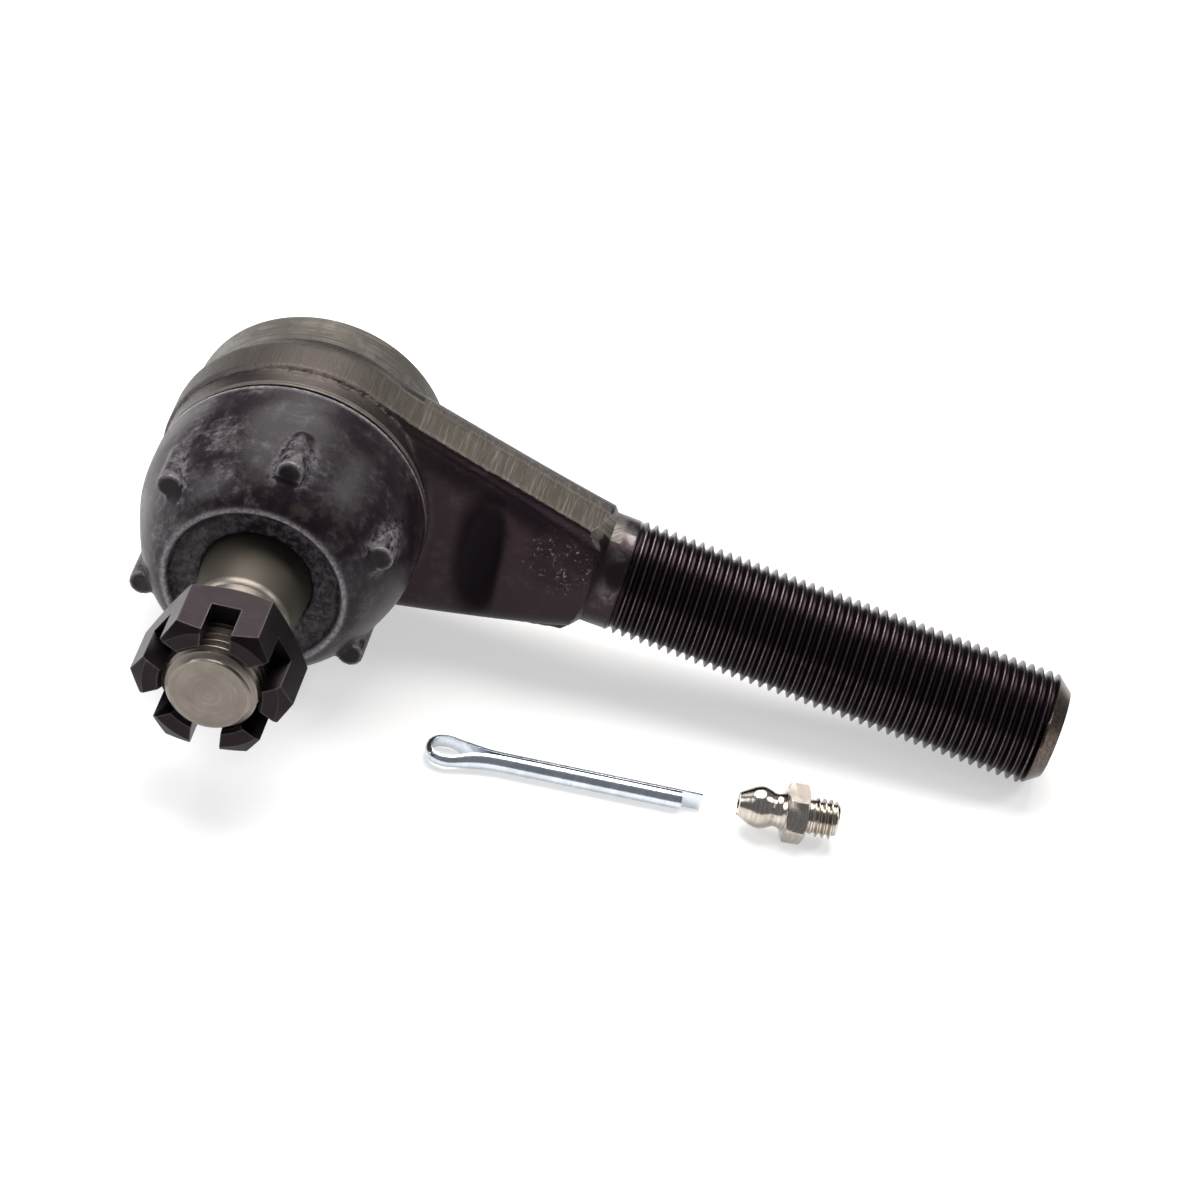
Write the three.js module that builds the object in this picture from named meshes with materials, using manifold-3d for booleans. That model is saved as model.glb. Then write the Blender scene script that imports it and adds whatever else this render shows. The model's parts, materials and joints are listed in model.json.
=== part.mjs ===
// Greasable tie rod end: a forged socket with a threaded shank, a ball stud with its castle nut,
// a rubber dust boot, and the loose cotter pin and grease fitting that are packed with it.
// Millimetres, +Z up. The part lies on a surface at z = 0, as it does when put down.
import * as THREE from "three";
import { ParametricGeometry } from "three/addons/geometries/ParametricGeometry.js";
import { mergeVertices } from "three/addons/utils/BufferGeometryUtils.js";
import Module from "manifold-3d";

const wasm = await Module();
wasm.setup();

// ---- Driving dimensions -------------------------------------------------------------------
// Local frame: origin where the shank's axis meets the stud's axis, +X along the shank,
// and the stud pointing along -Y. "Station" is the distance from the origin towards the stud end.
const GAP = 0.3; // between pieces that bear on each other
const SIDES = 42; // facets round a turned surface
const WELD = 1e-4; // corners closer than this are one corner
const THREAD_DEPTH = 0.61; // of the pitch

const shank = { radius: 9, pitch: 1.5, start: 51.2, turns: 46, chamfer: 2.0, facets: 12 };
const neck = { radius: 8.75, chamferStart: 44.5, start: 47.6 };
const socket = { frontRadius: 21.1, rearRadius: 20.2, front: 11.9, rear: -8.8 };
const collar = { radius: 17.6, front: 16.3, mouthRadius: 12.4 };
const bore = { radius: 14.9, front: 9.9, throatRadius: 10.3, coverRadius: 17, coverSeat: -6.4 };
const lip = { radius: 16.1, seat: -8.2 };
const flash = { radius: 21.66, width: 6.9, station: 2.65, lean: 0.075, armAngle: 21.565 };
const arm = { start: 14, end: 46.5, rootHalf: 17.9, tipHalf: 10.1, front: 10.6, rear: 8.6, tipDepth: 9.2 };
const scoop = { radius: 5.5, x: 30.5, y: -14.4, halfLength: 30 }; // hollow in the arm's front face
const ball = { station: 4, radius: 11, flatStation: -3 };
const stud = { neckRadius: 6.8, neckEnd: 20, coneStart: 27, coneEnd: 43.2, coneEndRadius: 7.53 };
const studThread = { radius: 7, pitch: 1.5, start: 46.6, end: 60.9, chamfer: 1.3, facets: 12 };
const CONE_TAPER = 1 / 12; // radius lost per millimetre of cone
const cotterHole = { radius: 1.8, station: 56.6 };
const nut = { acrossFlats: 21, rear: 48.9, front: 60.0, cornerAngle: 10, slotWidth: 4.4, slotDepth: 6.6 };
const boot = { rimRadius: 21.4, rimEnd: 16.5, bottom: 12.2, seatRadius: 19.2, front: 34.4, lipRadius: 10 };
const lug = { count: 6, radius: 1.9, reach: 18.4, front: 29.8, length: 8, firstAngle: 31.5 };
const seatRing = { inner: 17.9, outer: 18.9, start: 12.4, end: 15.8 };
const lipRing = { inner: 9.0, outer: 9.7, start: 29.9, end: 31.7 };
const pin = { diameter: 3.2, length: 42.7, shortLeg: 39.7, eyeRadius: 2.9, eyeNeck: 10.5, slit: 0.2 };
const fitting = { length: 15.2, acrossFlats: 8, hexStart: 7, hexEnd: 10.4, headRadius: 3.3 };
const fittingThread = { radius: 3, pitch: 1, start: 11, facets: 12 };
const fittingBore = { radius: 1.35, mouth: 0.7, ball: 1.05, ballStation: 2.35 };
const fittingCoil = { radius: 0.95, wire: 0.17, start: 3.6, end: 13.6, turns: 6 };

// Where the loose pieces lie, measured on the surface from the point under the local origin.
const pinPlace = { x: 29.4, y: -35.3, yaw: 6 };
const fittingPlace = { x: 77.4, y: -31.4, yaw: 8.7 };

// ---- Geometry helpers ---------------------------------------------------------------------
const TAU = Math.PI * 2;
const rad = THREE.MathUtils.degToRad;
const lerp = THREE.MathUtils.lerp;
const clamp = THREE.MathUtils.clamp;

// A closed geometry as a manifold solid, with its faces pointing out.
function toSolid(geometry) {
  const bare = geometry.clone();
  bare.deleteAttribute("normal");
  bare.deleteAttribute("uv");
  const merged = mergeVertices(bare, WELD);
  const xyz = merged.attributes.position;
  const corners = [0, 1, 2].map(() => new THREE.Vector3());
  const triangles = [];
  let volume = 0;
  for (let i = 0; i < merged.index.count; i += 3) {
    const ids = [0, 1, 2].map((k) => merged.index.getX(i + k));
    if (new Set(ids).size < 3) continue;
    ids.forEach((id, k) => corners[k].fromBufferAttribute(xyz, id));
    volume += corners[0].dot(corners[1].clone().cross(corners[2]));
    triangles.push(ids);
  }
  if (volume < 0) triangles.forEach((ids) => ids.reverse());
  const mesh = new wasm.Mesh({
    numProp: 3,
    vertProperties: Float32Array.from(xyz.array),
    triVerts: Uint32Array.from(triangles.flat()),
  });
  return new wasm.Manifold(mesh);
}

function toGeometry(solid) {
  const mesh = solid.getMesh();
  const geometry = new THREE.BufferGeometry();
  geometry.setAttribute("position", new THREE.BufferAttribute(mesh.vertProperties, 3));
  geometry.setIndex(new THREE.BufferAttribute(mesh.triVerts, 1));
  geometry.computeVertexNormals();
  return geometry;
}

// A solid turned about the stud's axis from [radius, station] points, closed on itself.
function turned(points, sides = SIDES) {
  const profile = points.map(([radius, station]) => new THREE.Vector2(radius, -station));
  profile.push(profile[0].clone());
  return new THREE.LatheGeometry(profile, sides);
}

// The same, turned about X, for the shank and the grease fitting.
function turnedAboutX(points, sides = SIDES) {
  return turned(points, sides).rotateZ(Math.PI / 2);
}

// An upright prism of a shape drawn in the X-Z plane, between two stations.
function plate(shape, from, to) {
  const settings = { depth: to - from, bevelEnabled: false, curveSegments: 12 };
  const geometry = new THREE.ExtrudeGeometry(shape, settings);
  return geometry.rotateX(Math.PI / 2).translate(0, -from, 0);
}

// A rod along X with a real helical thread. Crest rows and root rows follow the helix, and both
// close on the end rings. The thread runs out into "plain" at the start and is chamfered at the end.
function threadedRod({ radius, pitch, start, end, chamfer, facets, plain }) {
  const depth = THREAD_DEPTH * pitch;
  const turns = Math.ceil((end - start) / pitch) + 1;
  const rows = 2 * turns + 2;
  const point = (u, v, target) => {
    const row = Math.round(u * (rows + 2)) - 1;
    const angle = v * TAU;
    const inner = clamp(row, 0, rows);
    const along = start - pitch + pitch * (inner / 2 + angle / TAU);
    const x = clamp(along, start, end);
    const runIn = clamp((along - start) / pitch, 0, 1);
    const crest = inner % 2 === 0;
    const full = crest ? radius : radius - depth;
    const cut = radius - chamfer + (end - x);
    const size = row === inner ? Math.min(lerp(plain, full, runIn), cut) : 0;
    target.set(x, size * Math.cos(angle), size * Math.sin(angle));
  };
  return new ParametricGeometry(point, rows + 2, facets);
}

// A rod lofted along X through rounded sections, collapsed to a point at both ends.
function lofted(sectionAt, from, to, steps, facets) {
  const point = (u, v, target) => {
    const row = Math.round(u * (steps + 2)) - 1;
    const inner = clamp(row, 0, steps);
    const x = lerp(from, to, inner / steps);
    const { half, front, rear, power } = sectionAt(x);
    const angle = v * TAU;
    const shape = (c) => Math.sign(c) * Math.abs(c) ** (2 / power);
    const depth = Math.cos(angle) < 0 ? front : rear;
    const scale = row === inner ? 1 : 0;
    target.set(x, scale * depth * shape(Math.cos(angle)), scale * half * shape(Math.sin(angle)));
  };
  return new ParametricGeometry(point, steps + 2, facets);
}

function cylinderBetween(radius, from, to, sides = 20) {
  const direction = to.clone().sub(from);
  const geometry = new THREE.CylinderGeometry(radius, radius, direction.length(), sides);
  const ownAxis = new THREE.Vector3(0, 1, 0);
  const turn = new THREE.Quaternion().setFromUnitVectors(ownAxis, direction.clone().normalize());
  geometry.applyQuaternion(turn);
  const middle = from.clone().add(to).multiplyScalar(0.5);
  return geometry.translate(middle.x, middle.y, middle.z);
}

function around(radius, degrees, station) {
  return new THREE.Vector3(radius * Math.cos(rad(degrees)), -station, radius * Math.sin(rad(degrees)));
}

// A prism whose section is a regular hexagon, along the stud's axis.
function hexagonPrism(acrossFlats, from, to, cornerAngle) {
  const shape = new THREE.Shape();
  const cornerRadius = acrossFlats / Math.sqrt(3);
  for (let k = 0; k < 6; k += 1) {
    const angle = rad(cornerAngle + 60 * k);
    const x = cornerRadius * Math.cos(angle);
    const y = cornerRadius * Math.sin(angle);
    if (k === 0) shape.moveTo(x, y);
    else shape.lineTo(x, y);
  }
  shape.closePath();
  return plate(shape, from, to);
}

// ---- Forged body: socket, arm and threaded shank in one piece -------------------------------
const armHalf = (x) => lerp(arm.rootHalf, arm.tipHalf, (x - arm.start) / (arm.end - arm.start));

function socketSolid() {
  const chamfer = 0.6;
  return toSolid(turned([
    [bore.radius, bore.front],
    [bore.throatRadius, bore.front],
    [collar.mouthRadius, collar.front],
    [collar.radius - chamfer, collar.front],
    [collar.radius, collar.front - chamfer],
    [collar.radius, socket.front],
    [socket.frontRadius - chamfer, socket.front],
    [socket.frontRadius, socket.front - chamfer],
    [socket.frontRadius, flash.station],
    [socket.rearRadius, flash.station - flash.width / 2],
    [socket.rearRadius, socket.rear + chamfer],
    [socket.rearRadius - chamfer, socket.rear],
    [lip.radius, socket.rear],
    [lip.radius, lip.seat],
    [bore.coverRadius, lip.seat],
    [bore.coverRadius, bore.coverSeat],
    [bore.radius, bore.coverSeat],
  ]));
}

// The trimmed flash line: a band round the whole plan outline, leaning a little from top to bottom.
function flashBand() {
  const tangent = rad(flash.armAngle);
  const shape = new THREE.Shape();
  shape.absarc(0, 0, flash.radius, Math.PI / 2 - tangent, 1.5 * Math.PI + tangent, false);
  shape.lineTo(arm.start, -armHalf(arm.start));
  shape.lineTo(arm.end - 2, -armHalf(arm.end - 2));
  shape.lineTo(arm.end - 2, armHalf(arm.end - 2));
  shape.lineTo(arm.start, armHalf(arm.start));
  shape.closePath();
  const geometry = plate(shape, flash.station - flash.width / 2, flash.station + flash.width / 2);
  const lean = new THREE.Matrix4().makeShear(0, 0, 0, 0, 0, -flash.lean);
  return toSolid(geometry.applyMatrix4(lean));
}

function armSolid() {
  const section = (x) => {
    const t = clamp((x - arm.start) / (arm.end - arm.start), 0, 1);
    return {
      half: armHalf(x) - 0.5,
      front: lerp(arm.front, arm.tipDepth, t),
      rear: lerp(arm.rear, arm.tipDepth, t ** 3),
      power: lerp(2.6, 2.1, t),
    };
  };
  return toSolid(lofted(section, arm.start - 4, arm.end, 10, 32));
}

function shankSolid() {
  const end = shank.start + shank.turns * shank.pitch + shank.chamfer;
  const rod = toSolid(threadedRod({ ...shank, end, plain: neck.radius }));
  const core = turnedAboutX([
    [0, arm.end - 6],
    [arm.tipDepth, arm.end - 6],
    [arm.tipHalf, neck.chamferStart],
    [neck.radius, neck.start],
    [neck.radius, shank.start + 0.2],
    [0, shank.start + 0.2],
  ]);
  return rod.add(toSolid(core));
}

function forgedBody() {
  const scoopLow = new THREE.Vector3(scoop.x, scoop.y, -scoop.halfLength);
  const scoopHigh = new THREE.Vector3(scoop.x, scoop.y, scoop.halfLength);
  const scoopRod = cylinderBetween(scoop.radius, scoopLow, scoopHigh, 32);
  const cavity = turned([[0, bore.front], [bore.radius, bore.front], [bore.radius, bore.coverSeat],
    [lip.radius, bore.coverSeat], [lip.radius, -40], [0, -40]]);
  const throat = turned([[0, 4], [bore.throatRadius, 4], [bore.throatRadius, bore.front],
    [collar.mouthRadius, collar.front], [collar.mouthRadius, 40], [0, 40]]);
  const coverPocket = turned([[0, bore.coverSeat], [bore.coverRadius, bore.coverSeat],
    [bore.coverRadius, lip.seat], [0, lip.seat]]);
  const front = turned([[socket.frontRadius - 0.6, socket.front], [60, socket.front], [60, 60], [0, 60],
    [0, collar.front], [collar.radius, collar.front], [collar.radius, socket.front]]);
  const rough = flashBand().add(armSolid()).subtract(toSolid(scoopRod));
  let body = rough.add(socketSolid()).add(shankSolid());
  for (const hollow of [cavity, throat, coverPocket, front]) body = body.subtract(toSolid(hollow));
  return body;
}

// ---- Socket internals -----------------------------------------------------------------------
// Points on the sphere that both bearings share, between two distances from the ball's centre.
function sphereArc(radius, from, to, steps = 4) {
  return Array.from({ length: steps + 1 }, (_, k) => {
    const offset = lerp(from, to, k / steps);
    return [Math.sqrt(radius ** 2 - offset ** 2), ball.station + offset];
  });
}

function frontBearing() {
  const seat = sphereArc(ball.radius + GAP, 0.3, 5.6);
  const outer = bore.radius - GAP;
  return toSolid(turned([...seat, [outer, ball.station + 5.6], [outer, ball.station + 0.3]]));
}

function rearSeat() {
  const seat = sphereArc(ball.radius + GAP, -5.5, -0.3);
  const outer = bore.radius - GAP;
  return toSolid(turned([...seat, [outer, ball.station - 0.3], [outer, -3.5], [seat[0][0], -3.5]]));
}

function preloadSpring() {
  return toSolid(turned([[10.5, -3.8], [14.5, -5.2], [14.5, -6.0], [14.2, -6.0], [10.5, -4.6]]));
}

function coverPlate() {
  const outer = bore.coverRadius - GAP;
  return toSolid(turned([[2.6, -6.7], [outer, -6.7], [outer, -7.9], [9, -7.9], [7, -8.9], [2.6, -8.9]]));
}

// ---- Ball stud --------------------------------------------------------------------------------
function ballStud() {
  const ballEnd = Math.sqrt(ball.radius ** 2 - stud.neckRadius ** 2);
  const coneRoot = stud.coneEndRadius + (stud.coneEnd - stud.coneStart) * CONE_TAPER;
  const groove = studThread.radius + 0.3;
  const blank = toSolid(turned([
    [0, ball.flatStation],
    ...sphereArc(ball.radius, ball.flatStation - ball.station, ballEnd, 9),
    [stud.neckRadius, stud.neckEnd],
    [lerp(stud.neckRadius, coneRoot, 0.8), stud.neckEnd + 4],
    [coneRoot, stud.coneStart],
    [stud.coneEndRadius, stud.coneEnd],
    [groove, stud.coneEnd + 0.5],
    [groove, studThread.start + 0.4],
    [0, studThread.start + 0.4],
  ]));
  const rod = toSolid(threadedRod({ ...studThread, plain: studThread.radius }).rotateZ(-Math.PI / 2));
  const angle = nut.cornerAngle - 30;
  const hole = cylinderBetween(
    cotterHole.radius,
    around(-12, angle, cotterHole.station),
    around(12, angle, cotterHole.station),
  );
  return blank.add(rod).subtract(toSolid(hole));
}

// ---- Castle nut -------------------------------------------------------------------------------
function castleNut() {
  const { rear, front } = nut;
  const faceRadius = nut.acrossFlats / 2 - 0.4;
  const cornerRadius = nut.acrossFlats / Math.sqrt(3) + 0.3;
  const fall = (cornerRadius - faceRadius) * Math.tan(rad(30));
  const chamfered = turned([[0, rear], [faceRadius, rear], [cornerRadius, rear + fall],
    [cornerRadius, front - fall], [faceRadius, front], [0, front]]);
  const hole = turned([[0, rear - 1], [8.3, rear - 1], [studThread.radius + GAP, rear + 0.7],
    [studThread.radius + GAP, front + 1], [0, front + 1]]);
  let solid = toSolid(hexagonPrism(nut.acrossFlats, rear, front, nut.cornerAngle));
  solid = solid.intersect(toSolid(chamfered)).subtract(toSolid(hole));
  for (let k = 0; k < 3; k += 1) {
    const slot = new THREE.BoxGeometry(30, nut.slotDepth + 1, nut.slotWidth);
    slot.translate(0, -(front - nut.slotDepth / 2 + 0.5), 0).rotateY(-rad(nut.cornerAngle + 30 + 60 * k));
    solid = solid.subtract(toSolid(slot));
  }
  return solid;
}

// ---- Dust boot and its rings --------------------------------------------------------------------
const bootInside = [[13.6, 29.4], [15.8, 27.8], [17.2, 24.6], [18.4, 20.6], [boot.seatRadius, 16.6]];

function dustBoot() {
  const shell = toSolid(turned([
    [boot.seatRadius, boot.bottom],
    [boot.rimRadius - 0.3, boot.bottom],
    [boot.rimRadius, boot.bottom + 0.6],
    [boot.rimRadius, boot.rimEnd],
    [21.3, 19],
    [20.6, 22],
    [19.6, 25.4],
    [18.6, 28.4],
    [17.4, 31],
    [15.8, 33.2],
    [14.0, boot.front],
    [13.3, boot.front - 0.1],
    [12.4, 33.2],
    [11.2, 32.5],
    [boot.lipRadius, 32.2],
    [boot.lipRadius, 29.6],
    ...bootInside,
  ]));
  let solid = shell;
  for (let k = 0; k < lug.count; k += 1) {
    const angle = lug.firstAngle + (360 / lug.count) * k;
    const bar = cylinderBetween(
      lug.radius,
      around(lug.reach, angle, lug.front),
      around(lug.reach, angle, lug.front - lug.length),
      12,
    );
    solid = solid.add(toSolid(bar));
  }
  const inside = turned([[0, 29.4], ...bootInside, [boot.seatRadius, 0], [0, 0]]);
  return solid.subtract(toSolid(inside));
}

function ring({ inner, outer, start, end }) {
  return toSolid(turned([[inner, start], [outer, start], [outer, end], [inner, end]]));
}

// ---- Cotter pin: half-round wire folded on itself with an eye -----------------------------------
class PinLine extends THREE.Curve {
  // From the long leg's tip, round the eye and back to the short leg's tip.
  constructor() {
    super();
    const flat = pin.slit / 2;
    const reach = pin.eyeRadius - pin.diameter / 4;
    const centre = reach + pin.diameter / 2;
    const half = [
      [pin.eyeNeck + 2, flat],
      [pin.eyeNeck - 1, flat + 0.25],
      [centre + reach, flat + 1.1],
      [centre + reach * 0.35, flat + reach * 0.8],
    ];
    const side = centre - reach * 0.45;
    const loop = [[side, reach * 0.92], [centre - reach, 0], [side, -reach * 0.92]];
    const back = half.map(([x, y]) => [x, -y]).reverse();
    const upper = [[pin.length, flat], [(pin.length + pin.eyeNeck) / 2, flat]];
    const lower = [[(pin.shortLeg + pin.eyeNeck) / 2, -flat], [pin.shortLeg, -flat]];
    const points = [...upper, ...half, ...loop, ...back, ...lower];
    this.line = new THREE.CatmullRomCurve3(points.map(([x, y]) => new THREE.Vector3(x, y, 0)));
  }

  getPoint(t, target = new THREE.Vector3()) {
    return this.line.getPoint(t, target);
  }
}

function cotterPin() {
  const section = new THREE.Shape();
  section.absarc(0, 0, pin.diameter / 2 - pin.slit / 2, Math.PI, TAU, false);
  section.closePath();
  const settings = { steps: 44, extrudePath: new PinLine(), curveSegments: 5 };
  return toSolid(new THREE.ExtrudeGeometry(section, settings));
}

// ---- Grease fitting: body, check ball and spring ------------------------------------------------
function fittingBody() {
  const { length, acrossFlats, hexStart, hexEnd, headRadius } = fitting;
  const head = turnedAboutX([
    [0, 0],
    [1.75, 0],
    [2.95, 2.2],
    [headRadius, 3.4],
    [2.95, 4.6],
    [2.45, 5.6],
    [2.6, 6.4],
    [3.3, hexStart + 0.2],
    [3.3, hexEnd],
    [2.6, hexEnd + 0.3],
    [2.6, fittingThread.start + 0.3],
    [0, fittingThread.start + 0.3],
  ], 28);
  const hexagon = hexagonPrism(acrossFlats, hexStart, hexEnd, 0).rotateZ(Math.PI / 2);
  const corner = acrossFlats / Math.sqrt(3) + 0.1;
  const flat = acrossFlats / 2 - 0.2;
  const rounding = turnedAboutX([[0, hexStart], [flat, hexStart], [corner, hexStart + 0.5],
    [corner, hexEnd - 0.5], [flat, hexEnd], [0, hexEnd]], 28);
  const passage = turnedAboutX([
    [0, -1],
    [fittingBore.mouth, -1],
    [fittingBore.mouth, 1.1],
    [fittingBore.radius, 2.0],
    [fittingBore.radius, length + 1],
    [0, length + 1],
  ], 16);
  const thread = threadedRod({ ...fittingThread, end: length, chamfer: 0.7, plain: 2.6 });
  const hex = toSolid(hexagon).intersect(toSolid(rounding));
  return toSolid(head).add(hex).add(toSolid(thread)).subtract(toSolid(passage));
}

class Helix extends THREE.Curve {
  constructor({ radius, start, end, turns }) {
    super();
    Object.assign(this, { radius, start, end, turns });
  }

  getPoint(t, target = new THREE.Vector3()) {
    const angle = t * this.turns * TAU;
    const x = lerp(this.start, this.end, t);
    return target.set(x, this.radius * Math.cos(angle), this.radius * Math.sin(angle));
  }
}

function fittingSpring() {
  const wire = new THREE.Shape();
  wire.absarc(0, 0, fittingCoil.wire, 0, TAU, false);
  const path = new Helix(fittingCoil);
  return toSolid(new THREE.ExtrudeGeometry(wire, { steps: 60, extrudePath: path, curveSegments: 3 }));
}

function fittingBall() {
  return toSolid(new THREE.SphereGeometry(fittingBore.ball, 14, 9).translate(fittingBore.ballStation, 0, 0));
}

// ---- Assembly -------------------------------------------------------------------------------------
const finishes = {
  forging: { color: 0x2b2729, roughness: 0.5, metalness: 0.6 },
  steel: { color: 0x8d887d, roughness: 0.35, metalness: 0.9 },
  blackOxide: { color: 0x1d1a1e, roughness: 0.4, metalness: 0.5 },
  rubber: { color: 0x2a272e, roughness: 0.75, metalness: 0 },
  springSteel: { color: 0x4a4d52, roughness: 0.4, metalness: 0.9 },
  sintered: { color: 0x6b6257, roughness: 0.7, metalness: 0.6 },
  zinc: { color: 0xb9c6d2, roughness: 0.25, metalness: 1 },
  nickel: { color: 0xd8d4c8, roughness: 0.15, metalness: 1 },
};

function piece(name, solid, finish) {
  const material = new THREE.MeshStandardMaterial(finishes[finish]);
  const mesh = new THREE.Mesh(toGeometry(solid), material);
  mesh.name = name;
  return mesh;
}

const joint = new THREE.Group();
joint.add(
  piece("forged_body", forgedBody(), "forging"),
  piece("cover_plate", coverPlate(), "steel"),
  piece("preload_disc_spring", preloadSpring(), "springSteel"),
  piece("rear_ball_seat", rearSeat(), "sintered"),
  piece("front_bearing", frontBearing(), "sintered"),
  piece("boot_seat_ring", ring(seatRing), "steel"),
  piece("dust_boot", dustBoot(), "rubber"),
  piece("boot_lip_ring", ring(lipRing), "springSteel"),
  piece("ball_stud", ballStud(), "steel"),
  piece("castle_nut", castleNut(), "blackOxide"),
);

// Put down, the part rests on the shank's end, the flash band and the boot's rim.
const shankEnd = shank.start + shank.turns * shank.pitch;
const bandFront = flash.station + flash.width / 2 - flash.lean * flash.radius * 2;
const noseDown = Math.asin((flash.radius - shank.radius) / shankEnd);
const roll = Math.atan((flash.radius - boot.rimRadius) / (boot.rimEnd - bandFront));
const lying = new THREE.Group();
joint.rotation.x = roll;
lying.rotation.y = noseDown;
lying.add(joint);

const loosePin = new THREE.Group();
loosePin.add(piece("cotter_pin", cotterPin(), "zinc"));
loosePin.rotation.z = rad(pinPlace.yaw);
loosePin.position.set(pinPlace.x, pinPlace.y, 0);

const looseFitting = new THREE.Group();
looseFitting.add(
  piece("grease_fitting_body", fittingBody(), "nickel"),
  piece("grease_fitting_ball", fittingBall(), "springSteel"),
  piece("grease_fitting_spring", fittingSpring(), "springSteel"),
);
looseFitting.rotation.z = rad(fittingPlace.yaw);
looseFitting.position.set(fittingPlace.x, fittingPlace.y, 0);

// Every group is stood on z = 0, and then the whole is centred over the origin.
const group = new THREE.Group();
for (const part of [lying, loosePin, looseFitting]) {
  part.position.z = -new THREE.Box3().setFromObject(part, true).min.z;
  group.add(part);
}
const middle = new THREE.Box3().setFromObject(group, true).getCenter(new THREE.Vector3());
for (const part of group.children) part.position.sub(new THREE.Vector3(middle.x, middle.y, 0));

export default group;
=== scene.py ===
# %% [markdown]
# # A tie rod end, modelled as a lesson
# A tie rod end joins a car's steering linkage to its wheel. A forged socket on a threaded shank
# holds a ball stud, a rubber boot keeps the grease in, and a castle nut with a cotter pin holds
# the stud's taper in the steering arm. The measured model is loaded first and never changes:
# everything made here stands where that model says.

# %% Load the measured model
import json
import math

import bpy
import numpy as np
from mathutils import Matrix, Vector, noise


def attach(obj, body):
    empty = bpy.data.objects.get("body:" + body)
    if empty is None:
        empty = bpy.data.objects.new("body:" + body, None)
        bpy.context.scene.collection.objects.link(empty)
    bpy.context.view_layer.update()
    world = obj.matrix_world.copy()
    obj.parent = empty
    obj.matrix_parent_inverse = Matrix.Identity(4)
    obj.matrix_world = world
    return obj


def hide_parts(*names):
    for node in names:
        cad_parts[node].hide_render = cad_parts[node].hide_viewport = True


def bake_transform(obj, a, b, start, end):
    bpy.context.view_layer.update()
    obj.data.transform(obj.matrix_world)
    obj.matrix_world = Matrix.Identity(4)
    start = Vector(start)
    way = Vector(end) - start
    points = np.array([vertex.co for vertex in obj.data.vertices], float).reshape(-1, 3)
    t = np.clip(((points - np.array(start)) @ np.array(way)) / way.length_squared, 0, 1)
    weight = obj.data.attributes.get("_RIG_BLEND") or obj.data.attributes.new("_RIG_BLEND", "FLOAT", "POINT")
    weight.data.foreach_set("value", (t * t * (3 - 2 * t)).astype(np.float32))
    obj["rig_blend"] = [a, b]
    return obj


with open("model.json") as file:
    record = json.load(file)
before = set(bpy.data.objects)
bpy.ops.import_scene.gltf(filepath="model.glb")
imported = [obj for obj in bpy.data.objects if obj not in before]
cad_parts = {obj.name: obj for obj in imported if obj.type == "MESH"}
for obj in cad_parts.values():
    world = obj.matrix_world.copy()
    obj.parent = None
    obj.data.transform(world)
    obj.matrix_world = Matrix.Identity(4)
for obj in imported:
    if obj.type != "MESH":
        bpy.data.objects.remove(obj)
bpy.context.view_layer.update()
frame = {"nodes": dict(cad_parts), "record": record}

JOINTS = {joint["name"]: joint for joint in frame["record"]["behaviour"]["joints"]}
print("pieces in the measured model:", len(frame["nodes"]))

# %% [markdown]
# ## The part's own axes
# The part lies on its side on a table, so its shank and its stud slope a little. It is far
# easier to model each piece square on, in millimetres, and to put the finished mesh in place
# with one matrix. The joints give that matrix: the stud's line and the tilt joint's line are two
# of its axes, and the ball's centre is a known distance along the stud. The shank runs along +X.
# A turned piece on the stud is modelled along +X too, and STUD stands that X on the stud's line.

# %% Work out the part's own axes
MM = 0.001
BALL_STATION = 4.0  # millimetres from the shank's axis to the ball's centre, along the stud
STUD_LINE = Vector(JOINTS["swing_direction"]["axis"]).normalized()
UP_LINE = Vector(JOINTS["stud_tilt"]["axis"]).normalized()
PIVOT = Vector(JOINTS["swing_direction"]["pos_m"])


def axes_matrix(origin, x_axis, y_axis, z_axis):
    turn = Matrix((x_axis, y_axis, z_axis)).transposed().to_4x4()
    return Matrix.Translation(origin) @ turn @ Matrix.Scale(MM, 4)


ORIGIN = PIVOT - STUD_LINE * BALL_STATION * MM
TO_STUD = Matrix.Rotation(-math.pi / 2, 4, "Z")
PART = axes_matrix(ORIGIN, (-STUD_LINE).cross(UP_LINE), -STUD_LINE, UP_LINE)
STUD = PART @ TO_STUD
print("origin of the part's own axes (m):", [round(value, 4) for value in ORIGIN])

# %% [markdown]
# The cotter pin and the grease fitting lie loose on the table. Their axes are measured on the
# model itself: +X runs along the piece from its low end, and +Z is up.

# %% Work out the loose pieces' axes
PIN_YAW = math.radians(6)


def loose_axes(node, along):
    x_axis = Vector(along).normalized()
    z_axis = Vector((0, 0, 1))
    y_axis = z_axis.cross(x_axis)
    places = [vertex.co for vertex in frame["nodes"][node].data.vertices]
    across = [place.dot(y_axis) for place in places]
    heights = [place.z for place in places]
    origin = x_axis * min(place.dot(x_axis) for place in places)
    origin += y_axis * (min(across) + max(across)) / 2 + z_axis * (min(heights) + max(heights)) / 2
    return axes_matrix(origin, x_axis, y_axis, z_axis)


PIN = loose_axes("cotter_pin", (math.cos(PIN_YAW), math.sin(PIN_YAW), 0))
FITTING = loose_axes("grease_fitting_body", JOINTS["check_ball_press"]["axis"])
print("cotter pin at", [round(value, 4) for value in PIN.translation])

# %% [markdown]
# ## Tools for modelling
# Most pieces here are turned on a lathe in a factory, so the first tools draw half of a section
# as a line of points and spin it. Where a cutter or a mould leaves a corner round, the point is
# written with that radius and the tool draws the curve.

# %% Tools: selecting, drawing and spinning
WELD = 0.002  # millimetres between corners that are merged
ALONG_X = (0, math.pi / 2, 0)  # turns a cylinder's axis on to X


def deselect():
    if bpy.context.object and bpy.context.object.mode != "OBJECT":
        bpy.ops.object.mode_set(mode="OBJECT")
    bpy.ops.object.select_all(action="DESELECT")


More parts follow.
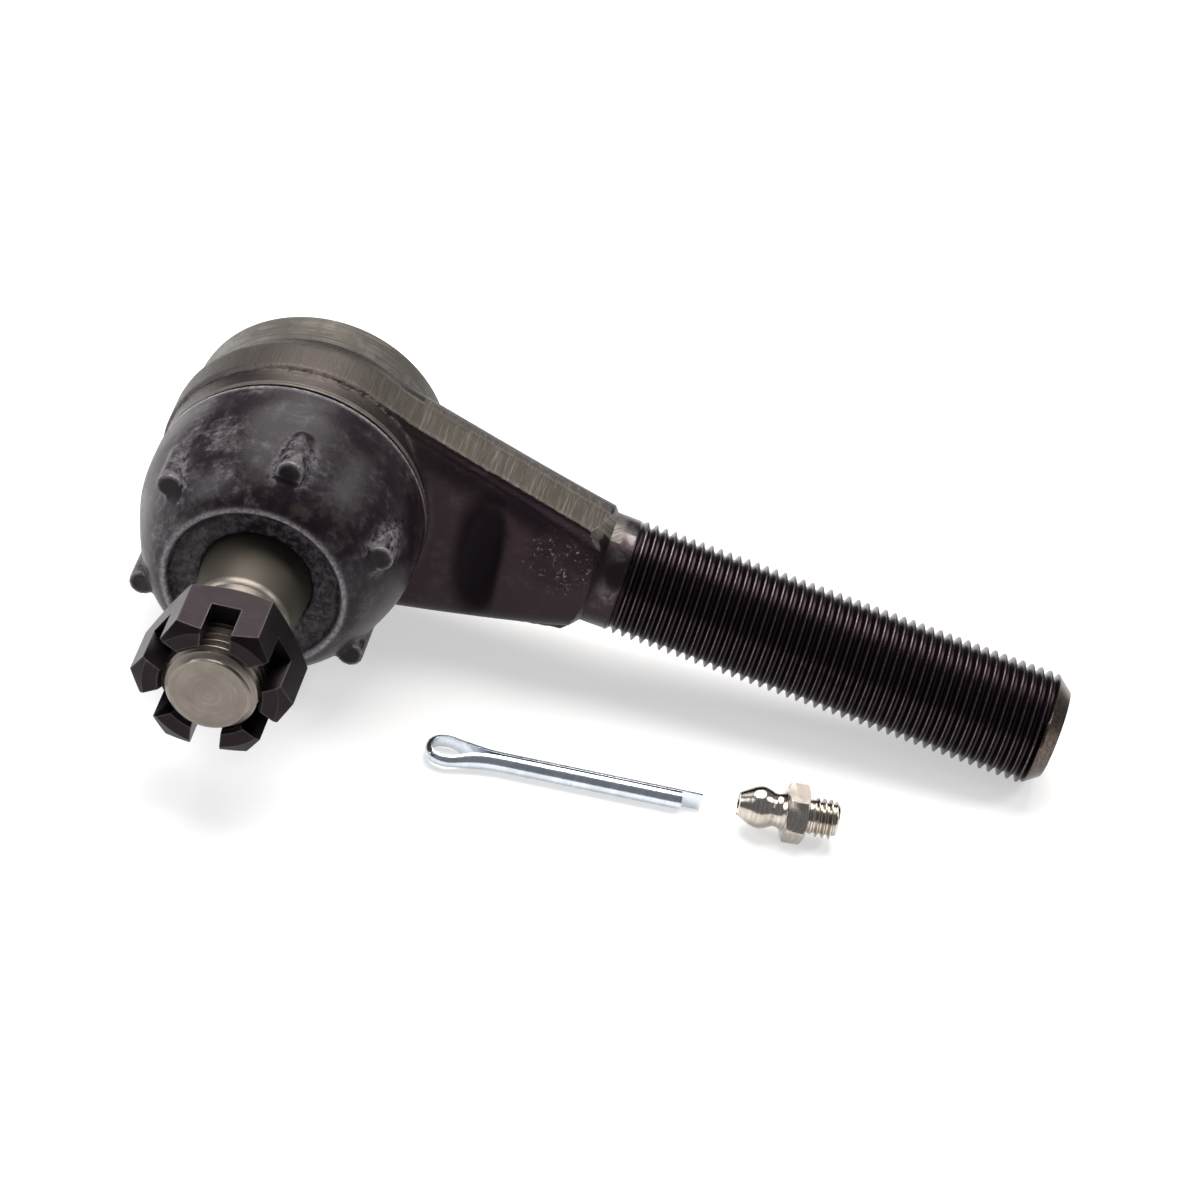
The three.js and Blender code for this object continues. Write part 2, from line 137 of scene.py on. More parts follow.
def activate(piece):
    deselect()
    piece.select_set(True)
    bpy.context.view_layer.objects.active = piece


def edit_all():
    bpy.ops.object.mode_set(mode="EDIT")
    bpy.ops.mesh.select_all(action="SELECT")


def rounded(points, steps=4):
    """Points are (radius, station) or (radius, station, fillet), closed on the first one."""
    outline = []
    for index, point in enumerate(points):
        here = Vector(point[:2])
        if len(point) < 3:
            outline.append(here)
            continue
        before = Vector(points[index - 1][:2]) - here
        after = Vector(points[(index + 1) % len(points)][:2]) - here
        start = here + before.normalized() * min(point[2], before.length * 0.49)
        end = here + after.normalized() * min(point[2], after.length * 0.49)
        for step in range(steps + 1):
            t = step / steps
            outline.append(start * (1 - t) ** 2 + here * 2 * t * (1 - t) + end * t * t)
    return outline


def draw_line(name, points):
    """One vertex is extruded from point to point."""
    deselect()
    bpy.ops.mesh.primitive_plane_add(size=0.1)
    piece = bpy.context.object
    piece.name = name
    edit_all()
    bpy.ops.mesh.merge(type="CENTER")
    bpy.ops.transform.translate(value=points[0])
    for here, there in zip(points, points[1:]):
        bpy.ops.mesh.extrude_region_move(TRANSFORM_OT_translate={"value": there - here})
    return piece


def merge_doubles(threshold=WELD):
    edit_all()
    bpy.ops.mesh.remove_doubles(threshold=threshold)


def tidy_faces():
    merge_doubles()
    bpy.ops.mesh.normals_make_consistent(inside=False)
    bpy.ops.object.mode_set(mode="OBJECT")


def solid_spun(name, outline, steps=96):
    """A solid turned about X. The outline is (radius, station) points, and stations run along X."""
    piece = draw_line(name, [Vector((point[1], point[0], 0)) for point in outline])
    edit_all()
    bpy.ops.mesh.spin(steps=steps, angle=math.tau, center=(0, 0, 0), axis=(1, 0, 0))
    tidy_faces()
    return piece


def ring_spun(name, outline, steps=144):
    """A ring: its outline closes on its first point."""
    return solid_spun(name, [*outline, outline[0]], steps)


def start_solid(name, shape, **settings):
    """Adds one of the tool's own solids and puts its place and turn into its mesh."""
    deselect()
    shape(**settings)
    piece = bpy.context.object
    piece.name = name
    bpy.ops.object.transform_apply(location=True, rotation=True, scale=True)
    return piece


def cylinder(name, radius, depth, place, sides, turn=(0, 0, 0)):
    return start_solid(
        name, bpy.ops.mesh.primitive_cylinder_add, radius=radius, depth=depth, vertices=sides,
        location=place, rotation=turn)


# %% [markdown]
# Other tools apply a modifier, join or cut solids, read or move all corners of a mesh at once,
# and start an object or a material. A finished piece's object stays at the world's origin with
# its place in its mesh, so that a pattern that reads the object's coordinates never slides.

# %% Tools: modifiers, joining, cutting and placing
SMOOTH_UP_TO = math.radians(35)


def apply_modifier(piece, kind, **settings):
    activate(piece)
    modifier = piece.modifiers.new(kind.title(), kind)
    for key, value in settings.items():
        setattr(modifier, key, value)
    bpy.ops.object.modifier_apply(modifier=modifier.name)


def soften_edges(piece, width, segments, degrees):
    angle = math.radians(degrees)
    apply_modifier(piece, "BEVEL", width=width, segments=segments, limit_method="ANGLE", angle_limit=angle)


def combine(piece, tool, operation):
    apply_modifier(piece, "BOOLEAN", object=tool, operation=operation, solver="EXACT")
    bpy.data.objects.remove(tool, do_unlink=True)
    return piece


def join(*pieces):
    activate(pieces[0])
    for piece in pieces[1:]:
        piece.select_set(True)
    bpy.ops.object.join()
    return bpy.context.object


def joined_watertight(*pieces):
    """Open pieces whose edge rings are alike become one closed skin."""
    piece = join(*pieces)
    tidy_faces()
    return piece


def turned(piece, matrix):
    piece.data.transform(matrix)
    piece.data.update()
    return piece


def corners(piece):
    found = np.empty(len(piece.data.vertices) * 3)
    piece.data.vertices.foreach_get("co", found)
    return found.reshape(-1, 3)


def move_corners(piece, places):
    piece.data.vertices.foreach_set("co", np.asarray(places, float).ravel())
    piece.data.update()


def smooth_corners(piece, repeat):
    activate(piece)
    edit_all()
    bpy.ops.mesh.vertices_smooth(factor=0.5, repeat=repeat)
    bpy.ops.object.mode_set(mode="OBJECT")


def add_object(name, data, place=Matrix.Identity(4)):
    added = bpy.data.objects.new(name, data)
    bpy.context.collection.objects.link(added)
    added.matrix_world = place
    return added


def new_material(name, roughness=0.5, metallic=0.0, specular=0.5):
    material = bpy.data.materials.new(name)
    material.use_nodes = True
    tree = material.node_tree
    shader = tree.nodes["Principled BSDF"]
    shader.inputs["Roughness"].default_value = roughness
    shader.inputs["Metallic"].default_value = metallic
    shader.inputs["Specular IOR Level"].default_value = specular
    return material, tree, shader


def finish_piece(piece, material, place, body, nodes):
    """Puts the mesh in its place and gives it its shading, its material and its body."""
    turned(piece, place)
    activate(piece)
    bpy.ops.object.shade_smooth_by_angle(angle=SMOOTH_UP_TO)
    piece.data.materials.clear()
    piece.data.materials.append(material)
    if body:
        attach(piece, body)
    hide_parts(*nodes)
    piece.data.calc_loop_triangles()
    print(f"{piece.name}: {len(piece.data.loop_triangles)} triangles")


# %% [markdown]
# A real screw thread is a ridge that climbs one pitch each turn. The Screw modifier makes it
# from one tooth. Its two ends are then squeezed on to plain rings in code: at the start the
# groove runs out into the plain rod, and at the end the chamfer cuts the crests down.

# %% Tool: threads
THREAD_DEPTH = 0.61  # of the pitch
TOOTH = ((0, 0), (0.2, 0), (0.27, 0.12), (0.52, 0.9), (0.57, 1), (0.68, 1), (0.73, 0.9), (0.98, 0.12))


def thread(name, radius, pitch, start, end, chamfer, plain, nose=0.01):
    root = radius - THREAD_DEPTH * pitch
    turns = math.ceil((end - start) / pitch) + 1
    tooth = [Vector((start + (along - 1) * pitch, root + (radius - root) * rise, 0))
             for along, rise in TOOTH + ((1, 0),)]
    piece = draw_line(name, tooth)
    bpy.ops.object.mode_set(mode="OBJECT")
    apply_modifier(
        piece, "SCREW", axis="X", angle=math.tau, screw_offset=pitch, iterations=turns,
        steps=96, render_steps=96, use_merge_vertices=True, merge_threshold=0.001)
    x, y, z = corners(piece).T
    size = np.hypot(y, z)
    run_in = np.clip((x - start) / pitch, 0, 1)
    along = np.clip(x, start, end)
    wanted = np.minimum(plain + (size - plain) * run_in, radius - chamfer + end - along)
    nose_cone = radius - chamfer + (end - along) * (chamfer - 0.3) / nose
    wanted += (nose_cone - wanted) * np.clip((along - end + nose) / 0.5 + 1, 0, 1) * (nose > 0.1)
    move_corners(piece, np.stack([along, y * wanted / size, z * wanted / size], axis=1))
    tidy_faces()
    return piece


# %% [markdown]
# ## Camera, table and light
# The camera is a long lens that looks down on the table from in front. It is rolled a little,
# as a camera held in the hand is.

# %% Camera
CAMERA_AZIMUTH = 2.265
CAMERA_ELEVATION = 36.337
CAMERA_ROLL = 14.045
CAMERA_DISTANCE = 0.76365
CAMERA_AIM = Vector((-0.00138, 0.02026, 0.0143))
LENS = 150.0


def facing(direction):
    return direction.to_track_quat("Z", "Y").to_matrix().to_4x4()


def add_camera():
    azimuth, elevation = math.radians(CAMERA_AZIMUTH), math.radians(CAMERA_ELEVATION)
    back = Vector((
        math.sin(azimuth) * math.cos(elevation),
        -math.cos(azimuth) * math.cos(elevation),
        math.sin(elevation),
    ))
    data = bpy.data.cameras.new("camera")
    data.lens = LENS
    roll = Matrix.Rotation(math.radians(CAMERA_ROLL), 4, "Z")
    place = Matrix.Translation(CAMERA_AIM + back * CAMERA_DISTANCE) @ facing(back) @ roll
    camera = add_object("camera", data, place)
    bpy.context.scene.camera = camera
    return camera


camera = add_camera()
print("camera at", [round(value, 3) for value in camera.matrix_world.translation])

# %% [markdown]
# Dark satin steel only looks like steel when it has something to reflect. A large soft light
# above and behind gives the long highlights, a weaker one fills from the left, and the pale
# table lights the part from below.

# %% Table and lights
TABLE_SIZE = 30.0
TABLE_COLOUR = (0.62, 0.615, 0.61)
TABLE_GLOW = 0.53
WORLD_COLOUR = (0.8, 0.82, 0.88)
WORLD_STRENGTH = 0.27
LIGHTS = (
    # name, place, size, power, colour
    ("overhead_softbox", (-0.2, 0.5, 1.0), 1.1, 19.0, (1.0, 0.98, 0.95)),
    ("left_softbox", (-0.9, -0.1, 0.5), 0.5, 4.0, (0.95, 0.97, 1.0)),
    ("right_strip", (0.7, 0.3, 0.8), 0.35, 3.0, (1.0, 0.98, 0.96)),
)


def add_light(name, place, size, power, colour):
    data = bpy.data.lights.new(name, "AREA")
    data.shape = "DISK"
    data.size = size
    data.energy = power
    data.color = colour
    add_object(name, data, Matrix.Translation(place) @ facing(Vector(place) - CAMERA_AIM))


def add_table():
    table = start_solid("table", bpy.ops.mesh.primitive_plane_add, size=TABLE_SIZE)
    material, _, shader = new_material("pale_table", roughness=0.9, specular=0.1)
    shader.inputs["Base Color"].default_value = (*TABLE_COLOUR, 1)
    shader.inputs["Emission Color"].default_value = (1, 1, 1, 1)
    shader.inputs["Emission Strength"].default_value = TABLE_GLOW
    table.data.materials.append(material)


def add_world():
    world = bpy.data.worlds.new("studio")
    world.use_nodes = True
    background = world.node_tree.nodes["Background"]
    background.inputs["Color"].default_value = (*WORLD_COLOUR, 1)
    background.inputs["Strength"].default_value = WORLD_STRENGTH
    bpy.context.scene.world = world


for light in LIGHTS:
    add_light(*light)
add_table()
add_world()
bpy.context.scene.view_settings.view_transform = "Standard"
print("lights:", len(LIGHTS))

# %% [markdown]
# ## Forged body: the blank
# Socket, arm and shank are one forging. The dies leave soft fillets and a flat band where the
# flash was sheared off all round, and lathes then cut the bore, both rims, the neck and the
# thread. It is made in the same order here: rough solids are merged by a voxel remesh and
# smoothed, which gives the fillets of a die, and crisp turned surfaces are cut in afterwards.

# %% Sizes of the forging, in millimetres
SOCKET_RADIUS = 21.1
SOCKET_FRONT = 11.9
REAR_RADIUS = 20.2
REAR_FACE = -8.8
BAND_RADIUS = 21.66
BAND_WIDTH = 6.9
BAND_STATION = 2.65
BAND_LEAN = 0.075  # stations gained per millimetre of height
BAND_TANGENT = 0.93  # cosine of the turn at which the band leaves the socket for the arm
ARM_START, ARM_END = 14.0, 48.5
ARM_ROOT_HALF, ARM_SLOPE = 17.9, 0.24
NECK_RADIUS = 8.75
NECK_START = 47.6
SHANK_RADIUS = 9.0
SHANK_START, SHANK_END = 51.2, 122.2


def arm_half(x):
    """Half of the arm's height in plan."""
    return ARM_ROOT_HALF - ARM_SLOPE * (x - ARM_START)


# %% Flash band
def flash_band():
    tangent = math.acos(BAND_TANGENT)
    first, last = math.pi / 2 - tangent, 1.5 * math.pi + tangent
    steps = 72
    turns = [first + (last - first) * step / steps for step in range(steps + 1)]
    front = BAND_STATION + BAND_WIDTH / 2
    outline = [Vector((BAND_RADIUS * math.cos(a), -front, BAND_RADIUS * math.sin(a))) for a in turns]
    for x, side in ((ARM_START, -1), (ARM_END, -1), (ARM_END, 1), (ARM_START, 1)):
        outline.append(Vector((x, -front, side * arm_half(x))))
    band = draw_line("flash_band", outline + outline[:1])
    merge_doubles()
    bpy.ops.mesh.edge_face_add()
    bpy.ops.mesh.extrude_region_move(TRANSFORM_OT_translate={"value": (0, BAND_WIDTH, 0)})
    tidy_faces()
    places = corners(band)
    places[:, 1] -= BAND_LEAN * places[:, 2]
    move_corners(band, places)
    return band


band = flash_band()
print("flash band corners:", len(band.data.vertices))

# %% [markdown]
# The arm's section is a rounded rectangle that becomes nearly round at the neck. A disc is
# extruded along the arm, and each ring is then given its own section by one formula. A cylinder
# then leaves a shallow hollow in the front face.

# %% Arm
ARM_RINGS = 20
ARM_SIDES = 64
SCOOP = {"x": 30.5, "depth": 14.4, "radius": 5.5}


def arm_blank():
    arm = start_solid("arm", bpy.ops.mesh.primitive_circle_add, vertices=ARM_SIDES, radius=1,
                      fill_type="NGON", rotation=ALONG_X)
    edit_all()
    start = ARM_START - 4
    step = (ARM_END - start) / ARM_RINGS
    bpy.ops.transform.translate(value=(start, 0, 0))
    for _ in range(ARM_RINGS):
        bpy.ops.mesh.extrude_region_move(TRANSFORM_OT_translate={"value": (step, 0, 0)})
    tidy_faces()
    x, y, z = corners(arm).T
    t = np.clip((x - ARM_START) / (ARM_END - ARM_START), 0, 1)
    facing_front = y < 0
    power = np.where(facing_front, 4.6 - 2.3 * t ** 2, 2.2)
    depth = np.where(facing_front, 10.6 - 1.4 * t, 8.6 + 0.6 * t ** 3)
    y = depth * np.sign(y) * np.abs(y) ** (2 / power)
    z = (arm_half(x) - 0.5) * np.sign(z) * np.abs(z) ** (2 / power)
    move_corners(arm, np.stack([x, y, z], axis=1))
    return arm


scoop = cylinder("scoop", SCOOP["radius"], 44, (SCOOP["x"], -SCOOP["depth"], 0), 48)
arm = combine(arm_blank(), scoop, "DIFFERENCE")
print("arm corners:", len(arm.data.vertices))

# %% Merge the rough solids and round them as the dies did
FORGED_VOXEL = 0.45


def socket_blank():
    outline = rounded([(0, -6), (19, -6), (SOCKET_RADIUS, 0), (SOCKET_RADIUS, 14), (0, 14)])
    return turned(solid_spun("socket_blank", outline), TO_STUD)


forging = join(band, arm, socket_blank())
forging.name = "forging"
apply_modifier(forging, "REMESH", mode="VOXEL", voxel_size=FORGED_VOXEL)
smooth_corners(forging, repeat=5)
print("forging corners:", len(forging.data.vertices))

# %% [markdown]
# The shear that trims the flash leaves a torn crease along the band's front edge, and scale
# leaves the arm rough near the neck. Both are real hollows, so corners of the mesh move.

# %% Torn crease and scale pits
CREASE_DEPTH, CREASE_WIDTH = 0.34, 0.38
PIT_DEPTH = 0.16
PITS_CENTRE = Vector((41.5, -9.0, 4.5))
PITS_REACH = 7.0


def wear_forging():
    places = corners(forging)
    moved = places.copy()
    for index, place in enumerate(places):
        x, y, z = place
        wobble = noise.noise(Vector((x * 0.25, 3.0, z * 0.25))) * 0.2
        band_front = BAND_STATION + BAND_WIDTH / 2 + BAND_LEAN * z
        away = (-y - band_front - 0.1 - wobble) / CREASE_WIDTH
        bite = CREASE_DEPTH * math.exp(-away * away)
        bite *= 0.55 + 0.9 * abs(noise.noise(Vector((x * 0.6, y, z * 0.6))))
        side = Vector((0, 0, math.copysign(1, z))) if x > ARM_START else Vector((x, 0, z)).normalized()
        near = max(0.0, 1 - (Vector(place) - PITS_CENTRE).length / PITS_REACH)
        pit = PIT_DEPTH * min(1.0, near * 2.5) * noise.noise(Vector(place) * 1.1)
        moved[index] = Vector(place) - side * bite - Vector((0, -1, 0)) * pit
    move_corners(forging, moved)


wear_forging()

# %% [markdown]
# ## Forged body: the turned surfaces
# The lathe work is spun as crisp solids. First everything that a lathe would remove is cut from
# the blank, and then the turned ring of the socket and the threaded shank are joined to it.

# %% What the lathe takes away
SOCKET_CORE = 17.6


def lathe_cutter():
    front = SOCKET_FRONT - 0.25
    socket_cut = solid_spun("socket_cut", [
        (0, -30), (SOCKET_CORE, -30), (SOCKET_CORE, front), (60, front), (60, 40), (0, 40)], steps=144)
    neck_cut = ring_spun("neck_cut", [
        (NECK_RADIUS, NECK_START), (13.6, 43.3), (20, 43.3), (20, 60), (NECK_RADIUS - 2, 60),
        (NECK_RADIUS - 2, NECK_START + 1)], steps=96)
    return join(turned(socket_cut, TO_STUD), neck_cut)


forging = combine(forging, lathe_cutter(), "DIFFERENCE")
print("after the cuts:", len(forging.data.vertices))

# %% The socket's turned ring
def socket_ring():
    outside = SOCKET_RADIUS + 0.05
    outline = rounded([
        (14.9, 9.9), (10.3, 9.9), (12.4, 16.3, 0.2), (SOCKET_CORE, 16.3, 0.4),
        (SOCKET_CORE, SOCKET_FRONT), (20.5, SOCKET_FRONT), (outside, SOCKET_FRONT - 0.8),
        (outside, SOCKET_FRONT - 1.5), (19.7, SOCKET_FRONT - 2.0), (19.7, -0.3), (REAR_RADIUS, -0.3),
        (REAR_RADIUS, REAR_FACE, 0.5), (SOCKET_CORE, REAR_FACE - 0.05, 0.3), (16.1, -8.3, 0.25),
        (17, -8.2), (17, -6.4), (14.9, -6.4)], steps=3)
    return turned(ring_spun("socket_ring", outline), TO_STUD)


# %% The threaded shank
def shank():
    collar = solid_spun("neck", [
        (0, 38), (7.4, 38), (7.8, 42), (NECK_RADIUS, 46.2), (NECK_RADIUS, SHANK_START)])
    screw = thread("shank_thread", SHANK_RADIUS, 1.5, SHANK_START, SHANK_END, 2.0, NECK_RADIUS, nose=2.2)
    face = solid_spun("shank_face", [
        (SHANK_RADIUS - 2, SHANK_END), (6.2, SHANK_END), (5.6, SHANK_END - 0.12), (0, SHANK_END - 0.12)])
    return joined_watertight(collar, screw, face)


forging = combine(forging, join(socket_ring(), shank()), "UNION")
print("forging finished:", len(forging.data.vertices), "corners")

# %% [markdown]
# ## Dust boot
# The boot is moulded rubber: a dome over the socket's front, rolled in to a lip round the stud.
# Six small bosses stand on it. The dome is spun as a shell, the bosses are merged into it by a
# fine voxel remesh, and a little smoothing gives the soft corners of rubber. The boot spans the
# joint, so it bends between the bearing and the lip's ring instead of riding on one of them.

# %% Boot shell
BOOT_RIM = 21.4
BOOT_BOTTOM = 12.2
BOOT_LIP = 8.45
BOOT_VOXEL = 0.32
BOSS_COUNT = 6
BOSS_FIRST = 31.5
BOSS_RADIUS = 2.05
BOSS_REACH = 18.9
BOSS_FRONT = 30.2
BOSS_LENGTH = 8.0


def boot_shell():
    return ring_spun("rubber_boot", rounded([
        (19.2, BOOT_BOTTOM), (BOOT_RIM, BOOT_BOTTOM, 0.5), (BOOT_RIM, 16.5, 1.2), (21.3, 19, 1.2),
        (20.6, 22, 1.6), (19.6, 25.4, 1.6), (18.6, 28.4, 1.4), (17.4, 31, 1.3), (15.8, 33.3, 1.1),
        (14.1, 34.55, 0.5), (13.35, 34.55, 0.2), (13.0, 33.5, 0.6), (11.9, 32.8, 0.8),
        (BOOT_LIP, 32.6), (BOOT_LIP + 0.25, 29.2), (13.6, 29.2, 2), (15.8, 27.8, 2),
        (17.2, 24.6, 2), (18.4, 20.6, 2), (19.2, 16.6)]))


def boss_places():
    """How far each boss stands from the boot's axis, as (y, z)."""
    turns = [math.radians(BOSS_FIRST + number * 360 / BOSS_COUNT) for number in range(BOSS_COUNT)]
    return [(BOSS_REACH * math.cos(turn), BOSS_REACH * math.sin(turn)) for turn in turns]


def boot_boss(y, z):
    place = (BOSS_FRONT - BOSS_LENGTH / 2, y, z)
    return cylinder("boss", BOSS_RADIUS, BOSS_LENGTH, place, 32, ALONG_X)


def boot_inside():
    return solid_spun("boot_inside", [
        (0, 0), (19.2, 0), (19.2, 16.6), (18.4, 20.6), (17.2, 24.6), (15.8, 27.8), (13.6, 29.2),
        (0, 29.2)], steps=144)


boot = boot_shell()
for place in boss_places():
    boot = combine(boot, boot_boss(*place), "UNION")
boot = combine(boot, boot_inside(), "DIFFERENCE")
apply_modifier(boot, "REMESH", mode="VOXEL", voxel_size=BOOT_VOXEL)
smooth_corners(boot, repeat=2)
print("boot corners:", len(boot.data.vertices))

# %% [markdown]
# ## Ball stud
# The stud is turned from one bar: a ball, a slim neck, a 1:6 taper that wedges in the steering
# arm, and a thread with a cross hole for the cotter pin. The blank, the thread and the end face
# share their edge rings, so merging their corners closes the skin.

# %% Ball stud
BALL_RADIUS = 11.0
BALL_FLAT = -3.0
STUD_NECK = 6.8
CONE_START, CONE_END = 27.0, 43.2
CONE_END_RADIUS = 7.53
CONE_TAPER = 1 / 12
STUD_RADIUS = 7.0
STUD_THREAD_START, STUD_END = 46.6, 60.9
CROSS_HOLE = {"radius": 1.8, "station": 56.6, "angle": math.radians(-20)}


def ball_arc(first, last, steps=28):
    offsets = [first + (last - first) * step / steps for step in range(steps + 1)]
    return [(math.sqrt(BALL_RADIUS ** 2 - offset ** 2), BALL_STATION + offset) for offset in offsets]


def cross_drill():
    turn = (CROSS_HOLE["angle"] - math.pi / 2, 0, 0)
    return cylinder("cross_drill", CROSS_HOLE["radius"], 24, (CROSS_HOLE["station"], 0, 0), 40, turn)


def ball_stud():
    ball_end = math.sqrt(BALL_RADIUS ** 2 - STUD_NECK ** 2)
    cone_root = CONE_END_RADIUS + (CONE_END - CONE_START) * CONE_TAPER
    blank = solid_spun("ball_stud_blank", [
        (0, BALL_FLAT), *ball_arc(BALL_FLAT - BALL_STATION, ball_end), (STUD_NECK, 20),
        (STUD_NECK + 1.1, 23), (cone_root - 0.1, 26.4), (cone_root, CONE_START),
        (CONE_END_RADIUS + 0.04, CONE_END - 0.5), (CONE_END_RADIUS - 0.06, CONE_END + 0.02),
        (7.2, 43.6), (7.2, STUD_THREAD_START - 0.2), (STUD_RADIUS, STUD_THREAD_START)])
    screw = thread("stud_thread", STUD_RADIUS, 1.5, STUD_THREAD_START, STUD_END, 1.1, STUD_RADIUS)
    face = solid_spun("stud_face", [
        (STUD_RADIUS - 1.1, STUD_END), (STUD_RADIUS - 1.45, STUD_END), (5.3, STUD_END - 0.07),
        (0, STUD_END - 0.07)])
    stud = joined_watertight(blank, screw, face)
    stud.name = "turned_ball_stud"
    return combine(stud, cross_drill(), "DIFFERENCE")


stud = ball_stud()
print("ball stud corners:", len(stud.data.vertices))

# %% [markdown]
# ## Castle nut
# A castle nut is a hexagon with a slot in each flat, so that a pin through the stud can lock it.
# What a six-sided cylinder and a chamfered blank have in common is bored, and slotted by three
# bars. A small bevel on every edge catches the light as a real machined edge does.

# %% Castle nut
NUT_FLATS = 21.0
NUT_REAR, NUT_FRONT = 48.9, 60.0
NUT_CORNER = math.radians(10)
NUT_SLOT_WIDTH, NUT_SLOT_DEPTH = 4.4, 6.6
NUT_BORE = 7.3
HEXAGON_CHAMFER = math.tan(math.radians(30))
MACHINED_EDGE = 28  # degrees from which a corner counts as an edge


def hexagon(name, flats, start, end, corner, face, reach, sides):
    """A hexagon bar with both ends chamfered, from the radius face out to the radius reach."""
    middle = ((start + end) / 2, 0, 0)
    bar = cylinder(name, flats / math.sqrt(3), end - start, middle, 6, ALONG_X)
    turned(bar, Matrix.Rotation(corner, 4, "X"))
    fall = (reach - face) * HEXAGON_CHAMFER
    blank = solid_spun("chamfers", [
        (0, start), (face, start), (reach, start + fall), (reach, end - fall), (face, end), (0, end)],
        steps=sides)
    return combine(bar, blank, "INTERSECT")


def nut_slot(angle):
    slot = start_solid(
        "slot", bpy.ops.mesh.primitive_cube_add, size=1, scale=(NUT_SLOT_DEPTH + 1, 30, NUT_SLOT_WIDTH),
        location=(NUT_FRONT - NUT_SLOT_DEPTH / 2 + 0.5, 0, 0))
    return turned(slot, Matrix.Rotation(angle, 4, "X"))


def castle_nut():
    nut = hexagon("slotted_castle_nut", NUT_FLATS, NUT_REAR, NUT_FRONT, NUT_CORNER,
                  NUT_FLATS / 2 - 0.4, NUT_FLATS / math.sqrt(3) + 0.3, 96)
    drill = solid_spun("nut_bore", [
        (0, NUT_REAR - 1), (8.3, NUT_REAR - 1), (NUT_BORE, NUT_REAR + 0.7), (NUT_BORE, NUT_FRONT - 0.5),
        (NUT_BORE + 1.0, NUT_FRONT + 0.5), (0, NUT_FRONT + 1)])
    nut = combine(nut, drill, "DIFFERENCE")
    for number in range(3):
        nut = combine(nut, nut_slot(NUT_CORNER + math.radians(30 + 60 * number)), "DIFFERENCE")
    soften_edges(nut, 0.22, 2, MACHINED_EDGE)
    return nut


nut = castle_nut()
print("castle nut corners:", len(nut.data.vertices))

# %% [markdown]
# ## Cotter pin
# A cotter pin is half-round wire folded on itself, flat side in, with a round eye and one leg
# longer than the other. A curve follows the wire's line, and a half-disc is swept along it.

# %% Cotter pin
WIRE_RADIUS = 1.42
PIN_LENGTH, PIN_SHORT = 42.7, 39.7
PIN_SLIT = 0.36
EYE_THINNING = 0.72
EYE_RADIUS = 2.9
EYE_NECK = 10.5


def flat_curve(name, points, dimensions, kind, **settings):
    data = bpy.data.curves.new(name, "CURVE")
    data.dimensions = dimensions
    line = data.splines.new(kind)
    line.points.add(len(points) - 1)
    for target, (x, y) in zip(line.points, points):
        target.co = (x, y, 0, 1)
    for key, value in settings.items():
        setattr(line, key, value)
    return add_object(name, data)


def cotter_pin():
    flat = PIN_SLIT / 2
    reach = EYE_RADIUS - 0.8
    centre = reach + WIRE_RADIUS + 0.1
    side = [(EYE_NECK + 3, flat), (EYE_NECK + 1, flat), (EYE_NECK - 1, flat + 0.15)]
    side += [(centre + reach * 1.6, flat + 0.75), (centre + reach * 0.75, flat + reach * 0.8)]
    side += [(centre, reach * 1.12), (centre - reach * 0.8, reach * 0.85)]
    tip = [(centre - reach * 1.04, reach * 0.3), (centre - reach * 1.04, -reach * 0.3)]
    back = [(x, -y) for x, y in reversed(side)]
    points = [(PIN_LENGTH, flat), (30, flat), (20, flat), *side, *tip, *back, (20, -flat), (30, -flat),
              (PIN_SHORT, -flat)]
    wire = flat_curve("folded_cotter_pin", points, "3D", "NURBS", order_u=4, use_endpoint_u=True,
                      resolution_u=8)
    wire.data.fill_mode = "FULL"
    for point in wire.data.splines[0].points:
        if point.co.x < centre + reach:
            point.radius = EYE_THINNING
    turns = [math.pi * step / 14 for step in range(15)]
    half_disc = [(WIRE_RADIUS * math.sin(a), WIRE_RADIUS * math.cos(a)) for a in turns]
    section = flat_curve("half_disc", half_disc, "2D", "POLY", use_cyclic_u=True)
    wire.data.bevel_mode = "OBJECT"
    wire.data.bevel_object = section
    wire.data.use_fill_caps = True
    activate(wire)
    bpy.ops.object.convert(target="MESH")
    bpy.data.objects.remove(section, do_unlink=True)
    pin = bpy.context.object
    tidy_faces()
    soften_edges(pin, 0.2, 3, 50)
    return pin


pin = cotter_pin()
low, high = corners(pin).min(0), corners(pin).max(0)
print("cotter pin reaches from", low.round(2), "to", high.round(2))

# %% [markdown]
# ## Grease fitting
# The fitting is turned and threaded like the stud, with a hexagon for the spanner. Its head has
# a groove behind it that a grease gun grips, and a fine hole that the check ball closes.

# %% Grease fitting
FITTING_LENGTH = 15.2
FITTING_FLATS = 8.0
HEX_START, HEX_END = 7.0, 10.4
FITTING_THREAD = {"radius": 3.0, "pitch": 1.0, "start": 11.0, "end": FITTING_LENGTH, "chamfer": 0.7}


